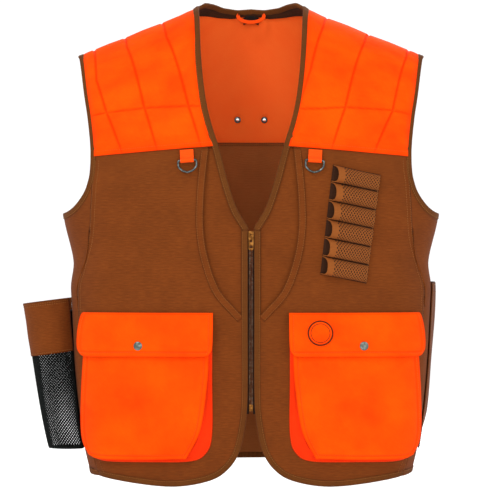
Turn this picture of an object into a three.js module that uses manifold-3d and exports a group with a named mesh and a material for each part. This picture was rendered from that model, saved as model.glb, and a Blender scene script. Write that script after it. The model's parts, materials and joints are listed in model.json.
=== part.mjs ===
// Upland field vest: brown canvas with blaze orange shoulders, back yoke and bellows pockets.
// Millimetres. +Z is up, the front faces -Y, +X is the wearer's left. The vest is worn open-necked and
// hangs from its hanger loop, where the origin is. Paired pieces are drafted on the +X side and mirrored.

import * as THREE from 'three';
import { mergeVertices } from 'three/addons/utils/BufferGeometryUtils.js';
import Module from 'manifold-3d';

const wasm = await Module();
wasm.setup();

// ---------------------------------------------------------------- driving dimensions

// Body form. Seams are drafted for the draft size and graded to the size set here.
const CHEST_HALF_WIDTH = 282;
const BODY_LENGTH = 727;
const HALF_DEPTH = 125;
const DRAFT_HALF_WIDTH = 282;
const DRAFT_LENGTH = 727;
const SQUARENESS = 2.8;

// Cloth and sewing.
const CANVAS = 1.6;
const PLY_GAP = 0.6;
const SEAM_GAP = 0.3;
const BINDING_WIDTH = 9.5;
const BINDING_THICKNESS = 4.8;
const PAD_EDGE = 3;
const PAD_CROWN = 6;
const BAND_WIDTH = 11;
const TRIM = 1;

// Bellows pockets.
const POCKET_WIDTH = 180;
const POCKET_HEIGHT = 203;
const POCKET_CUT_WIDTH = 33;
const POCKET_CUT_HEIGHT = 150;
const POCKET_DEPTH = 12;
const POCKET_PIN = 8;
const POCKET_SWELL = 5;
const POCKET_BELLY = 3;
const GUSSET_SPREAD = 5;
const FLAP_DROP = 65;
const FLAP_RISE = 15;
const FLAP_OVERHANG = 6;
const FLAP_ROLL = 14.5;

// Snaps.
const SNAP_CAP_RADIUS = 6.5;
const SNAP_POST_RADIUS = 1.5;
const SNAP_SOCKET_RADIUS = 4.6;
const SNAP_KNOB_RADIUS = 2.2;
const SNAP_PLATE = 0.7;

// Zip.
const ZIP_BOTTOM = 112;
const ZIP_TOP = 372;
const ZIP_SLOT = 9.2;
const TOOTH_INNER = 0.8;
const TOOTH_OUTER = 2.9;
const TAPE_WIDTH = 13;
const SLIDER_WIDTH = 8.2;
const SLIDER_HEIGHT = 14;
const PULL_LENGTH = 18;
const PULL_WIDTH = 7.4;

// D-rings and their webbing.
const WEBBING_WIDTH = 20;
const STRAP_DROP = 16;
const RING_WIDTH = 30;
const RING_HEIGHT = 21;
const RING_WIRE = 3;
const RING_CLEARANCE = 0.6;

// Shell holder.
const SHELL_LOOPS = 6;
const LOOP_HEIGHT = 13;
const ELASTIC = 1.4;
const LOOP_MARGIN = 1.2;

// Bottle pocket.
const BOTTLE_TOP_RADIUS = 37;
const BOTTLE_BOTTOM_RADIUS = 31;
const BOTTLE_LEAN = 28;
const MESH = 1.2;
const BOTTLE_BAND_HEIGHT = 80;

// Game bag, hanger, patch, grommets.
const GAME_BAG_DEPTH = 22;
const HANGER_WIDTH = 44;
const HANGER_DROP = 17;
const HANGER_TAPE = 5;
const HANGER_THICKNESS = 2.2;
const LABEL_WIDTH = 24;
const LABEL_HEIGHT = 11;
const PATCH_RADIUS = 19;
const GROMMET_RADIUS = 5;
const GROMMET_BORE = 2.5;

// ---------------------------------------------------------------- layers and grading

const OUTER_LAYER = CANVAS + PLY_GAP;
const SHELL_FACE = OUTER_LAYER + CANVAS;
const TRIM_LAYER = SHELL_FACE + PLY_GAP;
const BINDING_LAYER = -0.2;
const FACING_LAYER = -CANVAS / 2 - 0.3;
const EDGE_TO_CLOTH = BINDING_WIDTH + 4 * SEAM_GAP;

const gradeX = (x) => x * CHEST_HALF_WIDTH / DRAFT_HALF_WIDTH;
const gradeZ = (z) => z * BODY_LENGTH / DRAFT_LENGTH;

// ---------------------------------------------------------------- the body form

// A smooth value through hand-chosen knots [at, value], flat beyond the ends.
function through(knots) {
  const last = knots.length - 1;
  const slope = (i) => {
    const a = knots[Math.max(0, i - 1)];
    const b = knots[Math.min(last, i + 1)];
    return (b[1] - a[1]) / (b[0] - a[0]);
  };
  return (at) => {
    if (at <= knots[0][0]) return knots[0][1];
    if (at >= knots[last][0]) return knots[last][1];
    const i = knots.findIndex((knot) => knot[0] > at) - 1;
    const span = knots[i + 1][0] - knots[i][0];
    const t = (at - knots[i][0]) / span;
    const rise = t * t * (3 - 2 * t);
    const lead = t * (1 - t) * (1 - t) * slope(i) * span;
    const trail = t * t * (t - 1) * slope(i + 1) * span;
    return knots[i][1] * (1 - rise) + knots[i + 1][1] * rise + lead + trail;
  };
}

const graded = (knots) => knots.map(([z, x]) => [gradeZ(z), gradeX(x)]);

const halfWidth = through(graded([
  [0, 238], [60, 252], [150, 262], [291, 270], [335, 265], [407, 282], [520, 284],
]));

const CHEST_LINE = gradeZ(450);
const SHOULDER_TIP = [gradeX(261), gradeZ(642)];
const SHOULDER_SLOPE = gradeZ(0.397) / gradeX(1);
const NECK_RISE = gradeZ(60);
const NECK_RISE_REACH = gradeX(110);
const RIDGE_SPAN = gradeZ(270);
const RIDGE = CHEST_LINE + RIDGE_SPAN * Math.PI / 2;

// Height of the shoulder line at a distance x from the middle.
function shoulderHeight(x) {
  const reach = Math.max(0, NECK_RISE_REACH - Math.abs(x)) / NECK_RISE_REACH;
  return SHOULDER_TIP[1] + SHOULDER_SLOPE * (SHOULDER_TIP[0] - Math.abs(x)) + NECK_RISE * reach * reach;
}

// The form in (x, h): h is the height up to the chest line, then runs over the shoulder and down the back.
function formPoint(x, h) {
  const turn = Math.max(0, (h - CHEST_LINE) / RIDGE_SPAN);
  const z = turn > 0 ? CHEST_LINE + (shoulderHeight(x) - CHEST_LINE) * Math.sin(turn) : h;
  const side = Math.min(1, Math.abs(x) / halfWidth(z)) ** SQUARENESS;
  const depth = HALF_DEPTH * (1 - side) ** (1 / SQUARENESS) * Math.cos(turn);
  return new THREE.Vector3(x, -depth, z);
}

// The same form in (angle, h): angle 0 is the front middle and 90 degrees is the wearer's left side.
function wrapPoint(angle, h) {
  const power = (value) => Math.sign(value) * Math.abs(value) ** (2 / SQUARENESS);
  if (h > CHEST_LINE) return formPoint(halfWidth(CHEST_LINE) * power(Math.sin(angle)), h);
  const x = halfWidth(h) * power(Math.sin(angle));
  return new THREE.Vector3(x, -HALF_DEPTH * power(Math.cos(angle)), h);
}

const angleOf = (x, h) => Math.asin(Math.min(1, x / halfWidth(h)) ** (SQUARENESS / 2));

// Lifts a pattern point off a form by an offset along its outward normal.
function lifter(form, stepA, stepB) {
  return (a, b, offset) => {
    const alongA = form(a + stepA, b).sub(form(a - stepA, b));
    const alongB = form(a, b + stepB).sub(form(a, b - stepB));
    const normal = alongA.cross(alongB).normalize();
    return form(a, b).addScaledVector(normal, offset);
  };
}

const front = lifter(formPoint, 0.5, 0.5);
const wrap = lifter(wrapPoint, 0.002, 0.5);
const mirrorY = (point) => new THREE.Vector3(point.x, -point.y, point.z);
const back = (x, h, offset) => mirrorY(front(x, h, offset));

// ---------------------------------------------------------------- pattern points and edges

const vec2 = (x, y) => new THREE.Vector2(x, y);

const turnOf = (x, z) => Math.asin(Math.min(1, (z - CHEST_LINE) / (shoulderHeight(x) - CHEST_LINE)));

// Pattern height of a point seen at (x, z) on the front.
const frontH = (x, z) => (z <= CHEST_LINE ? z : CHEST_LINE + RIDGE_SPAN * turnOf(x, z));

// Pattern height of a point seen at (x, z) past the shoulder line, in the front's run of h.
const pastRidgeH = (x, z) => CHEST_LINE + RIDGE_SPAN * (Math.PI - turnOf(x, z));

const onFront = (x, z) => vec2(gradeX(x), frontH(gradeX(x), gradeZ(z)));
const onRidge = (x) => vec2(gradeX(x), RIDGE);
const pastRidge = (x, z) => vec2(gradeX(x), pastRidgeH(gradeX(x), gradeZ(z)));

const smooth = (points) => new THREE.SplineCurve(points);
const run = (curve, from = 0, to = 1) => (t) => curve.getPointAt(THREE.MathUtils.lerp(from, to, t));

// A run of a curve moved sideways, to the right of its direction.
function inset(curve, distance, from = 0, to = 1) {
  return (t) => {
    const at = THREE.MathUtils.lerp(from, to, t);
    const p = curve.getPointAt(at);
    const g = curve.getTangentAt(at);
    return vec2(p.x + g.y * distance, p.y - g.x * distance);
  };
}

// Two edges joined end to end, with the joint at the given share of the whole.
const chain = (first, second, share) => (t) => (
  t < share ? first(t / share) : second((t - share) / (1 - share)));

const flip = (edge) => (t) => edge(1 - t);
const straight = (p, q) => (t) => p.clone().lerp(q, t);

// Parameter between two bounds where a rising quantity reaches zero.
function crossing(value, low = 0, high = 1) {
  let from = low;
  let to = high;
  for (let i = 0; i < 40; i += 1) {
    const middle = (from + to) / 2;
    if (value(middle) < 0) from = middle;
    else to = middle;
  }
  return (from + to) / 2;
}

// Bilinearly blended patch between four edges: bottom and top run with u, left and right with v.
function patch(bottom, top, left, right) {
  return (u, v) => {
    const across = bottom(u).multiplyScalar(1 - v).add(top(u).multiplyScalar(v));
    const along = left(v).multiplyScalar(1 - u).add(right(v).multiplyScalar(u));
    const corners = bottom(0).multiplyScalar((1 - u) * (1 - v)).add(bottom(1).multiplyScalar(u * (1 - v)));
    corners.add(top(0).multiplyScalar((1 - u) * v)).add(top(1).multiplyScalar(u * v));
    return across.add(along).sub(corners);
  };
}

// ---------------------------------------------------------------- solids

function signedVolume(position, index) {
  const corner = (i) => new THREE.Vector3().fromBufferAttribute(position, index[i]);
  let sum = 0;
  for (let i = 0; i < index.length; i += 3) sum += corner(i).dot(corner(i + 1).cross(corner(i + 2)));
  return sum;
}

// Merges shared vertices, drops collapsed triangles and turns the faces outward.
function tidy(geometry) {
  geometry.deleteAttribute('normal');
  geometry.deleteAttribute('uv');
  const merged = mergeVertices(geometry, 1e-4);
  const source = merged.index.array;
  const kept = [];
  for (let i = 0; i < source.length; i += 3) {
    const [a, b, c] = [source[i], source[i + 1], source[i + 2]];
    if (a !== b && b !== c && a !== c) kept.push(a, b, c);
  }
  if (signedVolume(merged.attributes.position, kept) < 0) kept.reverse();
  merged.setIndex(kept);
  return merged;
}

// Closed sheet between an inner and an outer layer, each a function of (u, v) in 0..1. A wrapped sheet
// closes on itself along u.
function sheet(nu, nv, inner, outer, wrapped = false) {
  const columns = wrapped ? nu : nu + 1;
  const rows = nv + 1;
  const positions = [];
  for (const layer of [inner, outer]) {
    for (let i = 0; i < columns; i += 1) {
      for (let j = 0; j < rows; j += 1) positions.push(...layer(i / nu, j / nv).toArray());
    }
  }
  const at = (layer, i, j) => (layer * columns + (i % columns)) * rows + j;
  const index = [];
  const quad = (a, b, c, d) => index.push(a, b, c, a, c, d);
  for (let i = 0; i < nu; i += 1) {
    for (let j = 0; j < nv; j += 1) {
      quad(at(1, i, j), at(1, i + 1, j), at(1, i + 1, j + 1), at(1, i, j + 1));
      quad(at(0, i, j), at(0, i, j + 1), at(0, i + 1, j + 1), at(0, i + 1, j));
    }
    quad(at(0, i, 0), at(0, i + 1, 0), at(1, i + 1, 0), at(1, i, 0));
    quad(at(1, i, nv), at(1, i + 1, nv), at(0, i + 1, nv), at(0, i, nv));
  }
  for (let j = 0; j < nv && !wrapped; j += 1) {
    quad(at(1, 0, j), at(1, 0, j + 1), at(0, 0, j + 1), at(0, 0, j));
    quad(at(0, nu, j), at(0, nu, j + 1), at(1, nu, j + 1), at(1, nu, j));
  }
  const geometry = new THREE.BufferGeometry();
  geometry.setAttribute('position', new THREE.Float32BufferAttribute(positions, 3));
  geometry.setIndex(index);
  return tidy(geometry);
}

// A pattern piece lifted to lie between two offsets, which may vary over the pattern.
function piece(outline, lift, low, high, nu, nv, wrapped = false) {
  const level = (offset) => (u, v) => {
    const p = outline(u, v);
    return lift(p.x, p.y, typeof offset === 'function' ? offset(p.x, p.y, u, v) : offset);
  };
  return sheet(nu, nv, level(low), level(high), wrapped);
}

// A strip between two edges.
const ribbon = (edge, opposite, lift, low, high, steps, across = 1) => piece(
  (u, v) => edge(u).lerp(opposite(u), v), lift, low, high, steps, across);

function mirrored(geometry) {
  const copy = geometry.clone().applyMatrix4(new THREE.Matrix4().makeScale(-1, 1, 1));
  copy.setIndex(Array.from(copy.index.array).reverse());
  return copy;
}

function toManifold(geometry) {
  const clean = tidy(geometry.clone());
  return new wasm.Manifold(new wasm.Mesh({
    numProp: 3,
    vertProperties: new Float32Array(clean.attributes.position.array),
    triVerts: new Uint32Array(clean.index.array),
  }));
}

function fromManifold(solid) {
  const mesh = solid.getMesh();
  const geometry = new THREE.BufferGeometry();
  geometry.setAttribute('position', new THREE.Float32BufferAttribute(Array.from(mesh.vertProperties), 3));
  geometry.setIndex(Array.from(mesh.triVerts));
  return geometry;
}

// Cuts tools away from a piece and keeps its main body, without the crumbs that trimming leaves.
function cut(geometry, ...tools) {
  const trimmed = tools.reduce((solid, tool) => solid.subtract(toManifold(tool)), toManifold(geometry));
  const bodies = trimmed.decompose().sort((a, b) => b.volume() - a.volume());
  return fromManifold(bodies[0]);
}

const join = (geometry, other) => fromManifold(toManifold(geometry).add(toManifold(other)));

// Shape in (y, z) given its width along x, centred.
function alongX(shape, width) {
  const geometry = new THREE.ExtrudeGeometry(shape, { depth: width, bevelEnabled: false, curveSegments: 8 });
  geometry.translate(0, 0, -width / 2);
  const axes = [new THREE.Vector3(0, 1, 0), new THREE.Vector3(0, 0, 1), new THREE.Vector3(1, 0, 0)];
  return tidy(geometry.applyMatrix4(new THREE.Matrix4().makeBasis(...axes)));
}

// Shape in (x, z) given its thickness along y, centred, with a chamfer if one is named.
function alongY(shape, thickness, chamfer = 0) {
  const geometry = new THREE.ExtrudeGeometry(shape, {
    depth: thickness - 2 * chamfer,
    bevelEnabled: chamfer > 0,
    bevelThickness: chamfer,
    bevelSize: chamfer,
    bevelOffset: -chamfer,
    bevelSegments: 1,
    curveSegments: 8,
  });
  geometry.translate(0, 0, chamfer - thickness / 2);
  const axes = [new THREE.Vector3(1, 0, 0), new THREE.Vector3(0, 0, 1), new THREE.Vector3(0, -1, 0)];
  return tidy(geometry.applyMatrix4(new THREE.Matrix4().makeBasis(...axes)));
}

const outlineOf = (points) => new THREE.Shape(points.map(([x, y]) => vec2(x, y)));
const holeOf = (points) => new THREE.Path(points.map(([x, y]) => vec2(x, y)));

const box = (x0, x1, y0, y1, z0, z1) => tidy(new THREE.BoxGeometry(x1 - x0, y1 - y0, z1 - z0)
  .translate((x0 + x1) / 2, (y0 + y1) / 2, (z0 + z1) / 2));

// Local frame on a surface of (x, h): x along the cloth, y into the body, z up.
function frameOn(surface, x, h) {
  const alongXAxis = surface(x + 0.5, h).sub(surface(x - 0.5, h)).normalize();
  const up = surface(x, h + 0.5).sub(surface(x, h - 0.5)).normalize();
  const outward = alongXAxis.clone().cross(up).normalize();
  const inward = outward.clone().negate();
  const basis = new THREE.Matrix4().makeBasis(alongXAxis, inward, alongXAxis.clone().cross(inward));
  return basis.setPosition(surface(x, h));
}

// Turned piece: profile [radius, height] with height measured outward from a frame's origin.
function turned(profile, segments, frame) {
  const lathe = new THREE.LatheGeometry(profile.map(([r, y]) => vec2(r, y)), segments);
  const axes = [new THREE.Vector3(1, 0, 0), new THREE.Vector3(0, -1, 0), new THREE.Vector3(0, 0, -1)];
  lathe.applyMatrix4(new THREE.Matrix4().makeBasis(...axes));
  return tidy(lathe.applyMatrix4(frame));
}

const rod = (radius, length, frame) => turned(
  [[0, -length / 2], [radius, -length / 2], [radius, length / 2], [0, length / 2]], 12, frame);

// ---------------------------------------------------------------- seams of the pattern

const neckEdge = smooth([
  onFront(4.6, 380), onFront(4.7, 385), onFront(11, 395), onFront(22, 415), onFront(36, 458),
  onFront(48, 505), onFront(60, 545), onFront(68, 585), onFront(73.5, 640), onFront(76, 690), onRidge(77),
  pastRidge(66, 727), pastRidge(57, 728), pastRidge(30, 724.5), pastRidge(0, 723),
  pastRidge(30, 724.5).multiply(vec2(-1, 1)),
]);
const neckRidge = crossing((t) => neckEdge.getPointAt(t).y - RIDGE);
const neckMiddle = crossing((t) => -neckEdge.getPointAt(t).x, neckRidge);
const neckAt = (h) => crossing((t) => inset(neckEdge, EDGE_TO_CLOTH)(t).y - h, 0, neckRidge);

const ZIP_EDGE = ZIP_SLOT / 2;
const frontEdge = smooth([
  vec2(ZIP_EDGE, gradeZ(380) - SEAM_GAP), vec2(ZIP_EDGE, gradeZ(250)), vec2(ZIP_EDGE, gradeZ(140)),
  onFront(8, 92), onFront(18, 50), onFront(36, 24), onFront(62, 9), onFront(113, 0), onFront(170, 4),
  onFront(224, 13),
]);
const clothEdge = inset(frontEdge, -EDGE_TO_CLOTH);
const HEM_CORNER = crossing((t) => clothEdge(t).x - gradeX(36));

// The hand-pocket edge starts by the flap and keeps its share of the way up to the pad; a pocket taller
// than drafted pushes it up.
const DRAFT_FLAP_TOP = 258;
const PAD_FOOT = 501;
const flapTopDrafted = Math.max(DRAFT_FLAP_TOP, (gradeZ(40) + POCKET_HEIGHT + FLAP_RISE) / gradeZ(1));
const climb = (z) => THREE.MathUtils.mapLinear(z, DRAFT_FLAP_TOP, PAD_FOOT, flapTopDrafted, PAD_FOOT);
const POCKET_EDGE_START = crossing((t) => gradeZ(climb(252)) - clothEdge(t).y);

const sideSeam = through(graded([
  [13, 224], [60, 236], [150, 247], [291, 258], [320, 252], [369, 241], [420, 237], [470, 234],
]));

// The armhole is drafted in (arc, h), where arc is the angle round the body times a mean radius.
const MEAN_RADIUS = 145;
const onArc = (x, h) => vec2(angleOf(x, h) * MEAN_RADIUS, h);
const armhole = smooth([
  onArc(gradeX(261), RIDGE), onArc(gradeX(252), onFront(252, 600).y),
  onArc(gradeX(243), onFront(243, 545).y),
  onArc(gradeX(238.5), onFront(238.5, 490).y), onArc(gradeX(243), gradeZ(450)),
  onArc(gradeX(258), gradeZ(422)), onArc(gradeX(273), gradeZ(409.5)),
  onArc(halfWidth(gradeZ(407)), gradeZ(407)),
]);
const armCloth = inset(armhole, EDGE_TO_CLOTH);
const arcToX = (p) => {
  const x = halfWidth(Math.min(p.y, CHEST_LINE)) * Math.abs(Math.sin(p.x / MEAN_RADIUS)) ** (2 / SQUARENESS);
  return vec2(x, p.y);
};
const seamTop = crossing((t) => arcToX(armCloth(t)).x - sideSeam(armCloth(t).y), 0.5);
const padLine = crossing((t) => onFront(236, 489).y - armCloth(t).y);
const yokeLine = crossing((t) => onFront(236, 519).y - armCloth(t).y);

const seamRun = (low, high, shift) => (t) => {
  const z = THREE.MathUtils.lerp(low, high, t);
  return vec2(sideSeam(z) + shift, z);
};
const armRun = (from, to) => (t) => arcToX(armCloth(THREE.MathUtils.lerp(from, to, t)));

const handPocket = smooth([
  clothEdge(POCKET_EDGE_START), onFront(22, climb(263)), onFront(47, climb(293)), onFront(63, climb(338)),
  onFront(70, climb(382)), onFront(69.5, climb(429)), onFront(66, climb(470)), onFront(62.5, PAD_FOOT),
]);

const FRONT_HEM = gradeZ(13);
const BACK_HEM = gradeZ(24);
const seamFoot = FRONT_HEM + EDGE_TO_CLOTH;
const seamHead = armCloth(seamTop).y - SEAM_GAP;

// Lowest edge round the sides and back, over the angle round the body.
function hemHeight(angle) {
  const turn = Math.min(1, Math.abs(Math.sin(angle / 2)) ** 2 * 1.6);
  return FRONT_HEM + (BACK_HEM - FRONT_HEM) * turn;
}

// ---------------------------------------------------------------- colours

const cloth = (color, roughness = 0.9) => new THREE.MeshStandardMaterial({ color, roughness, metalness: 0 });
const metal = (color, roughness) => new THREE.MeshStandardMaterial({ color, roughness, metalness: 1 });

const CANVAS_BROWN = cloth('#7b3d16');
const BINDING_BROWN = cloth('#7e461a');
const LINING_BROWN = cloth('#5f3016');
const FACING_BROWN = cloth('#3c2414');
const BLAZE_ORANGE = cloth('#ff5a02', 0.75);
const ELASTIC_BROWN = cloth('#85491d');
const MESH_BLACK = cloth('#242d2a', 0.7);
const LABEL_BLACK = cloth('#2a211c', 0.8);
const GUNMETAL = metal('#55595a', 0.4);
const ANTIQUE_BRASS = metal('#8f5425', 0.4);
const ZIP_BLACK = cloth('#15110e', 0.5);

// ---------------------------------------------------------------- shell panels

const TOP_OF_PANELS = onFront(62, 503).y;

// A seam between two pattern points that looks straight from the front.
const levelSeam = (p, q) => {
  const [low, high] = [formPoint(p.x, p.y).z, formPoint(q.x, q.y).z];
  return (t) => {
    const x = THREE.MathUtils.lerp(p.x, q.x, t);
    return vec2(x, frontH(x, THREE.MathUtils.lerp(low, high, t)));
  };
};
const padCorner = onFront(61, 503.5);

function frontPanel() {
  const hem = inset(frontEdge, -EDGE_TO_CLOTH, HEM_CORNER, 1);
  const frontRise = flip(inset(frontEdge, -EDGE_TO_CLOTH, POCKET_EDGE_START, HEM_CORNER));
  const left = chain(frontRise, run(handPocket), 0.45);
  const right = chain(seamRun(seamFoot, seamHead, -SEAM_GAP), armRun(seamTop, padLine), 0.9);
  const bottom = (t) => hem(t).lerp(right(0), t ** 8);
  const panel = piece(
    patch(bottom, levelSeam(left(1), right(1)), left, right), front, OUTER_LAYER, SHELL_FACE, 8, 16);
  return cut(panel, frontBinding(SEAM_GAP), armholeBinding(SEAM_GAP), sidePanel(2 * SEAM_GAP));
}

function innerFront() {
  const edge = inset(neckEdge, EDGE_TO_CLOTH, neckAt(gradeZ(382)), neckAt(TOP_OF_PANELS));
  const underlap = gradeX(28);
  const low = gradeZ(236);
  const left = chain(straight(vec2(ZIP_EDGE + EDGE_TO_CLOTH, low), edge(0)), edge, 0.5);
  const right = (t) => {
    const inner = left(t);
    const pocket = run(handPocket)(Math.max(0, t * 1.08 - 0.08));
    return vec2(Math.max(inner.x, pocket.x) + underlap, inner.y);
  };
  const outline = patch(straight(left(0), right(0)), levelSeam(left(1), right(1)), left, right);
  return cut(piece(outline, front, 0, CANVAS, 4, 14), neckBinding(SEAM_GAP));
}

function sidePanel(grow = 0) {
  const arc = (p) => vec2(angleOf(p.x, p.y), p.y);
  const seam = (t) => arc(seamRun(seamFoot, seamHead, 3 * SEAM_GAP - grow)(t));
  const hem = (t) => {
    const angle = THREE.MathUtils.lerp(seam(0).x, Math.PI - seam(0).x, t);
    return vec2(angle, hemHeight(angle) + EDGE_TO_CLOTH);
  };
  const left = (t) => vec2(seam(t).x, THREE.MathUtils.lerp(hem(0).y, seamHead, t));
  const right = (t) => vec2(Math.PI - seam(t).x, THREE.MathUtils.lerp(hem(1).y, seamHead, t));
  const armCurve = (t) => {
    const q = armCloth(THREE.MathUtils.lerp(seamTop, 1, t < 0.5 ? 2 * t : 2 - 2 * t));
    const angle = q.x / MEAN_RADIUS;
    return vec2(t < 0.5 ? angle : Math.PI - angle, q.y);
  };
  const top = (t) => armCurve(t).lerp(t < 0.5 ? left(1) : right(1), Math.abs(2 * t - 1) ** 12);
  const panel = piece(patch(hem, top, left, right), wrap, OUTER_LAYER - grow, SHELL_FACE + grow, 14, 9);
  return cut(panel, armholeBinding(SEAM_GAP), backHemBinding(SEAM_GAP));
}

const backSeamX = (z) => sideSeam(z) - 2 * SEAM_GAP;

// Edge of the back's cloth from the hem up the side seam and the armhole to a level.
function backSide(level, inward) {
  const foot = BACK_HEM + EDGE_TO_CLOTH;
  const shift = (p) => vec2(p.x - inward, p.y);
  const lower = (t) => shift(vec2(backSeamX(THREE.MathUtils.lerp(foot, seamHead, t)),
    THREE.MathUtils.lerp(foot, seamHead, t)));
  const upper = (t) => shift(armRun(seamTop, level)(t));
  return chain(lower, upper, 0.85);
}

const mirroredEdge = (edge) => (t) => edge(t).multiply(vec2(-1, 1));

function backSheet(inward, low, high) {
  const right = backSide(yokeLine, inward);
  const left = mirroredEdge(right);
  const outline = patch(straight(left(0), right(0)), levelSeam(left(1), right(1)), left, right);
  const arm = armholeBinding(SEAM_GAP);
  const sides = [sidePanel(2 * SEAM_GAP), arm].flatMap((tool) => [tool, mirrored(tool)]);
  return cut(piece(outline, back, low, high, 14, 10), backHemBinding(SEAM_GAP), ...sides);
}

// Spreads rows closer together toward the shoulder line, where the form turns sharply.
const towardRidge = (v) => 1 - (1 - v) ** 1.5;

// Back yoke: from its lower seam up to the shoulder line and the back of the neck.
function backYoke() {
  const right = armRun(yokeLine - 0.012, 0.004);
  const left = mirroredEdge(right);
  const lift = (p) => vec2(p.x, 2 * RIDGE - p.y);
  const neck = (t) => lift(inset(neckEdge, EDGE_TO_CLOTH, neckRidge + 0.01, neckMiddle)(t));
  const ridgeLine = RIDGE - SEAM_GAP;
  const clamp = (p) => vec2(p.x, Math.min(p.y, ridgeLine));
  const rightHalf = chain(neck, straight(vec2(neck(0).x, ridgeLine), clamp(right(1))), 0.5);
  const half = (t) => clamp(t < 0.5 ? flip(neck)(2 * t) : rightHalf(0.5 + (t - 0.5)));
  const top = (t) => (t < 0.5 ? mirroredEdge(half)(1 - 2 * t) : half(2 * t - 1));
  const sheetOf = patch(levelSeam(left(0), right(0)), top, left, (t) => clamp(right(t)));
  const yoke = piece((u, v) => sheetOf(u, towardRidge(v)), back, OUTER_LAYER, SHELL_FACE, 20, 10);
  const arm = armholeBinding(SEAM_GAP);
  const holes = grommetFrames.map((frame) => rod(GROMMET_BORE + 1, 10, frame));
  return cut(yoke, neckBinding(SEAM_GAP), arm, mirrored(arm), ...holes);
}

function shoulderPad() {
  const left = inset(neckEdge, EDGE_TO_CLOTH, neckAt(padCorner.y), neckRidge - 0.004);
  const right = armRun(padLine - 0.006, 0.004);
  const top = (t) => vec2(THREE.MathUtils.lerp(left(1).x, right(1).x, t), RIDGE - SEAM_GAP);
  const clampTop = (edge) => (t) => vec2(edge(t).x, Math.min(edge(t).y, RIDGE - SEAM_GAP));
  const crown = (x, h, u, v) => OUTER_LAYER + PAD_EDGE + PAD_CROWN * (16 * u * (1 - u) * v * (1 - v)) ** 0.4;
  const sheetOf = patch(levelSeam(left(0), right(0)), top, clampTop(left), clampTop(right));
  const pad = piece((u, v) => sheetOf(u, towardRidge(v)), front, OUTER_LAYER, crown, 10, 10);
  return cut(pad, neckBinding(SEAM_GAP), armholeBinding(SEAM_GAP));
}

// ---------------------------------------------------------------- bindings and facings

const BINDING_TOP = BINDING_LAYER + BINDING_THICKNESS;

// The neck binding runs up one front, round the back of the neck and down the other.
function neckBinding(grow = 0) {
  const edge = (distance) => (t) => {
    const along = neckMiddle * (1 - Math.abs(2 * t - 1));
    const p = inset(neckEdge, distance)(along);
    return vec2(t < 0.5 ? p.x : -p.x, p.y);
  };
  return ribbon(
    edge(-grow), edge(BINDING_WIDTH + grow), front, BINDING_LAYER - grow, BINDING_TOP + grow, 48);
}

const frontBinding = (grow = 0) => ribbon(
  inset(frontEdge, grow), inset(frontEdge, -BINDING_WIDTH - grow), front,
  BINDING_LAYER - grow, BINDING_TOP + grow, 30);

function backHemBinding(grow = 0) {
  const start = angleOf(sideSeam(FRONT_HEM) + 2 * SEAM_GAP - grow, FRONT_HEM);
  const edge = (rise) => (t) => {
    const angle = THREE.MathUtils.lerp(start, 2 * Math.PI - start, t);
    return vec2(angle, hemHeight(angle) + rise);
  };
  return ribbon(
    edge(-grow), edge(BINDING_WIDTH + grow), wrap, BINDING_LAYER - grow, BINDING_TOP + grow, 48);
}

// Ring round the armhole: its front half is drafted and its back half is the mirror image of it.
function armholeBinding(grow = 0) {
  const place = (distance, offset) => (u) => {
    const along = 1 - Math.abs(2 * u - 1);
    const p = inset(armhole, distance)(Math.max(along, 0));
    const q = wrap(p.x / MEAN_RADIUS, Math.min(p.y, RIDGE), offset);
    if (along === 0 || along === 1) q.y = 0;
    return u < 0.5 ? q : mirrorY(q);
  };
  const layer = (offset) => (u, v) => place(v * BINDING_WIDTH + (2 * v - 1) * grow, offset)(u);
  return sheet(36, 1, layer(BINDING_LAYER - grow), layer(BINDING_TOP + grow), true);
}

// Dark facing inside the back of the neck: thin in the middle and deep at the shoulders.
function neckFacing() {
  const span = neckMiddle - neckRidge;
  const edge = (depth) => (t) => {
    const side = Math.abs(2 * t - 1);
    const distance = EDGE_TO_CLOTH + 2 * SEAM_GAP + depth * (0.18 + 0.82 * side * side);
    const p = inset(neckEdge, distance)(neckMiddle - span * side * 0.97);
    return vec2(t < 0.5 ? -p.x : p.x, 2 * RIDGE - p.y);
  };
  return ribbon(edge(0), edge(26), back, FACING_LAYER, FACING_LAYER + CANVAS, 24, 2);
}

const pocketBand = () => ribbon(
  run(handPocket), inset(handPocket, BAND_WIDTH), front, TRIM_LAYER, TRIM_LAYER + TRIM, 20);

// ---------------------------------------------------------------- bellows pockets

const POCKET_INNER = gradeX(62);
const POCKET_BOTTOM = gradeZ(40);
const POCKET_TOP = POCKET_BOTTOM + POCKET_HEIGHT;
const FLAP_TOP = POCKET_TOP + FLAP_RISE;
const POCKET_BASE = TRIM_LAYER;
const onPocket = (x, z) => vec2(POCKET_INNER + x, POCKET_BOTTOM + z);

// Stand-off of the pocket front's inner face from the form: full at the foot, pinned at its top corners.
function pocketStand(x, z) {
  const u = THREE.MathUtils.clamp((x - POCKET_INNER) / POCKET_WIDTH, 0, 1);
  const v = THREE.MathUtils.clamp((z - POCKET_BOTTOM) / POCKET_HEIGHT, 0, 1);
  const pinned = v ** 3;
  const belly = Math.sin(Math.PI * u);
  const swell = Math.sin(Math.PI * v);
  const full = POCKET_DEPTH - POCKET_PIN + (POCKET_SWELL + POCKET_BELLY * belly) * swell;
  return POCKET_PIN + (1 - pinned) * full + pinned * POCKET_BELLY * belly;
}

// Stand-off of the flap's inner face, rolling out from its sewn top edge over the pocket.
function flapStand(x, z) {
  const down = THREE.MathUtils.clamp((FLAP_TOP - z) / FLAP_DROP, 0, 1);
  return POCKET_BASE + FLAP_ROLL * down ** 0.35;
}

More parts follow.
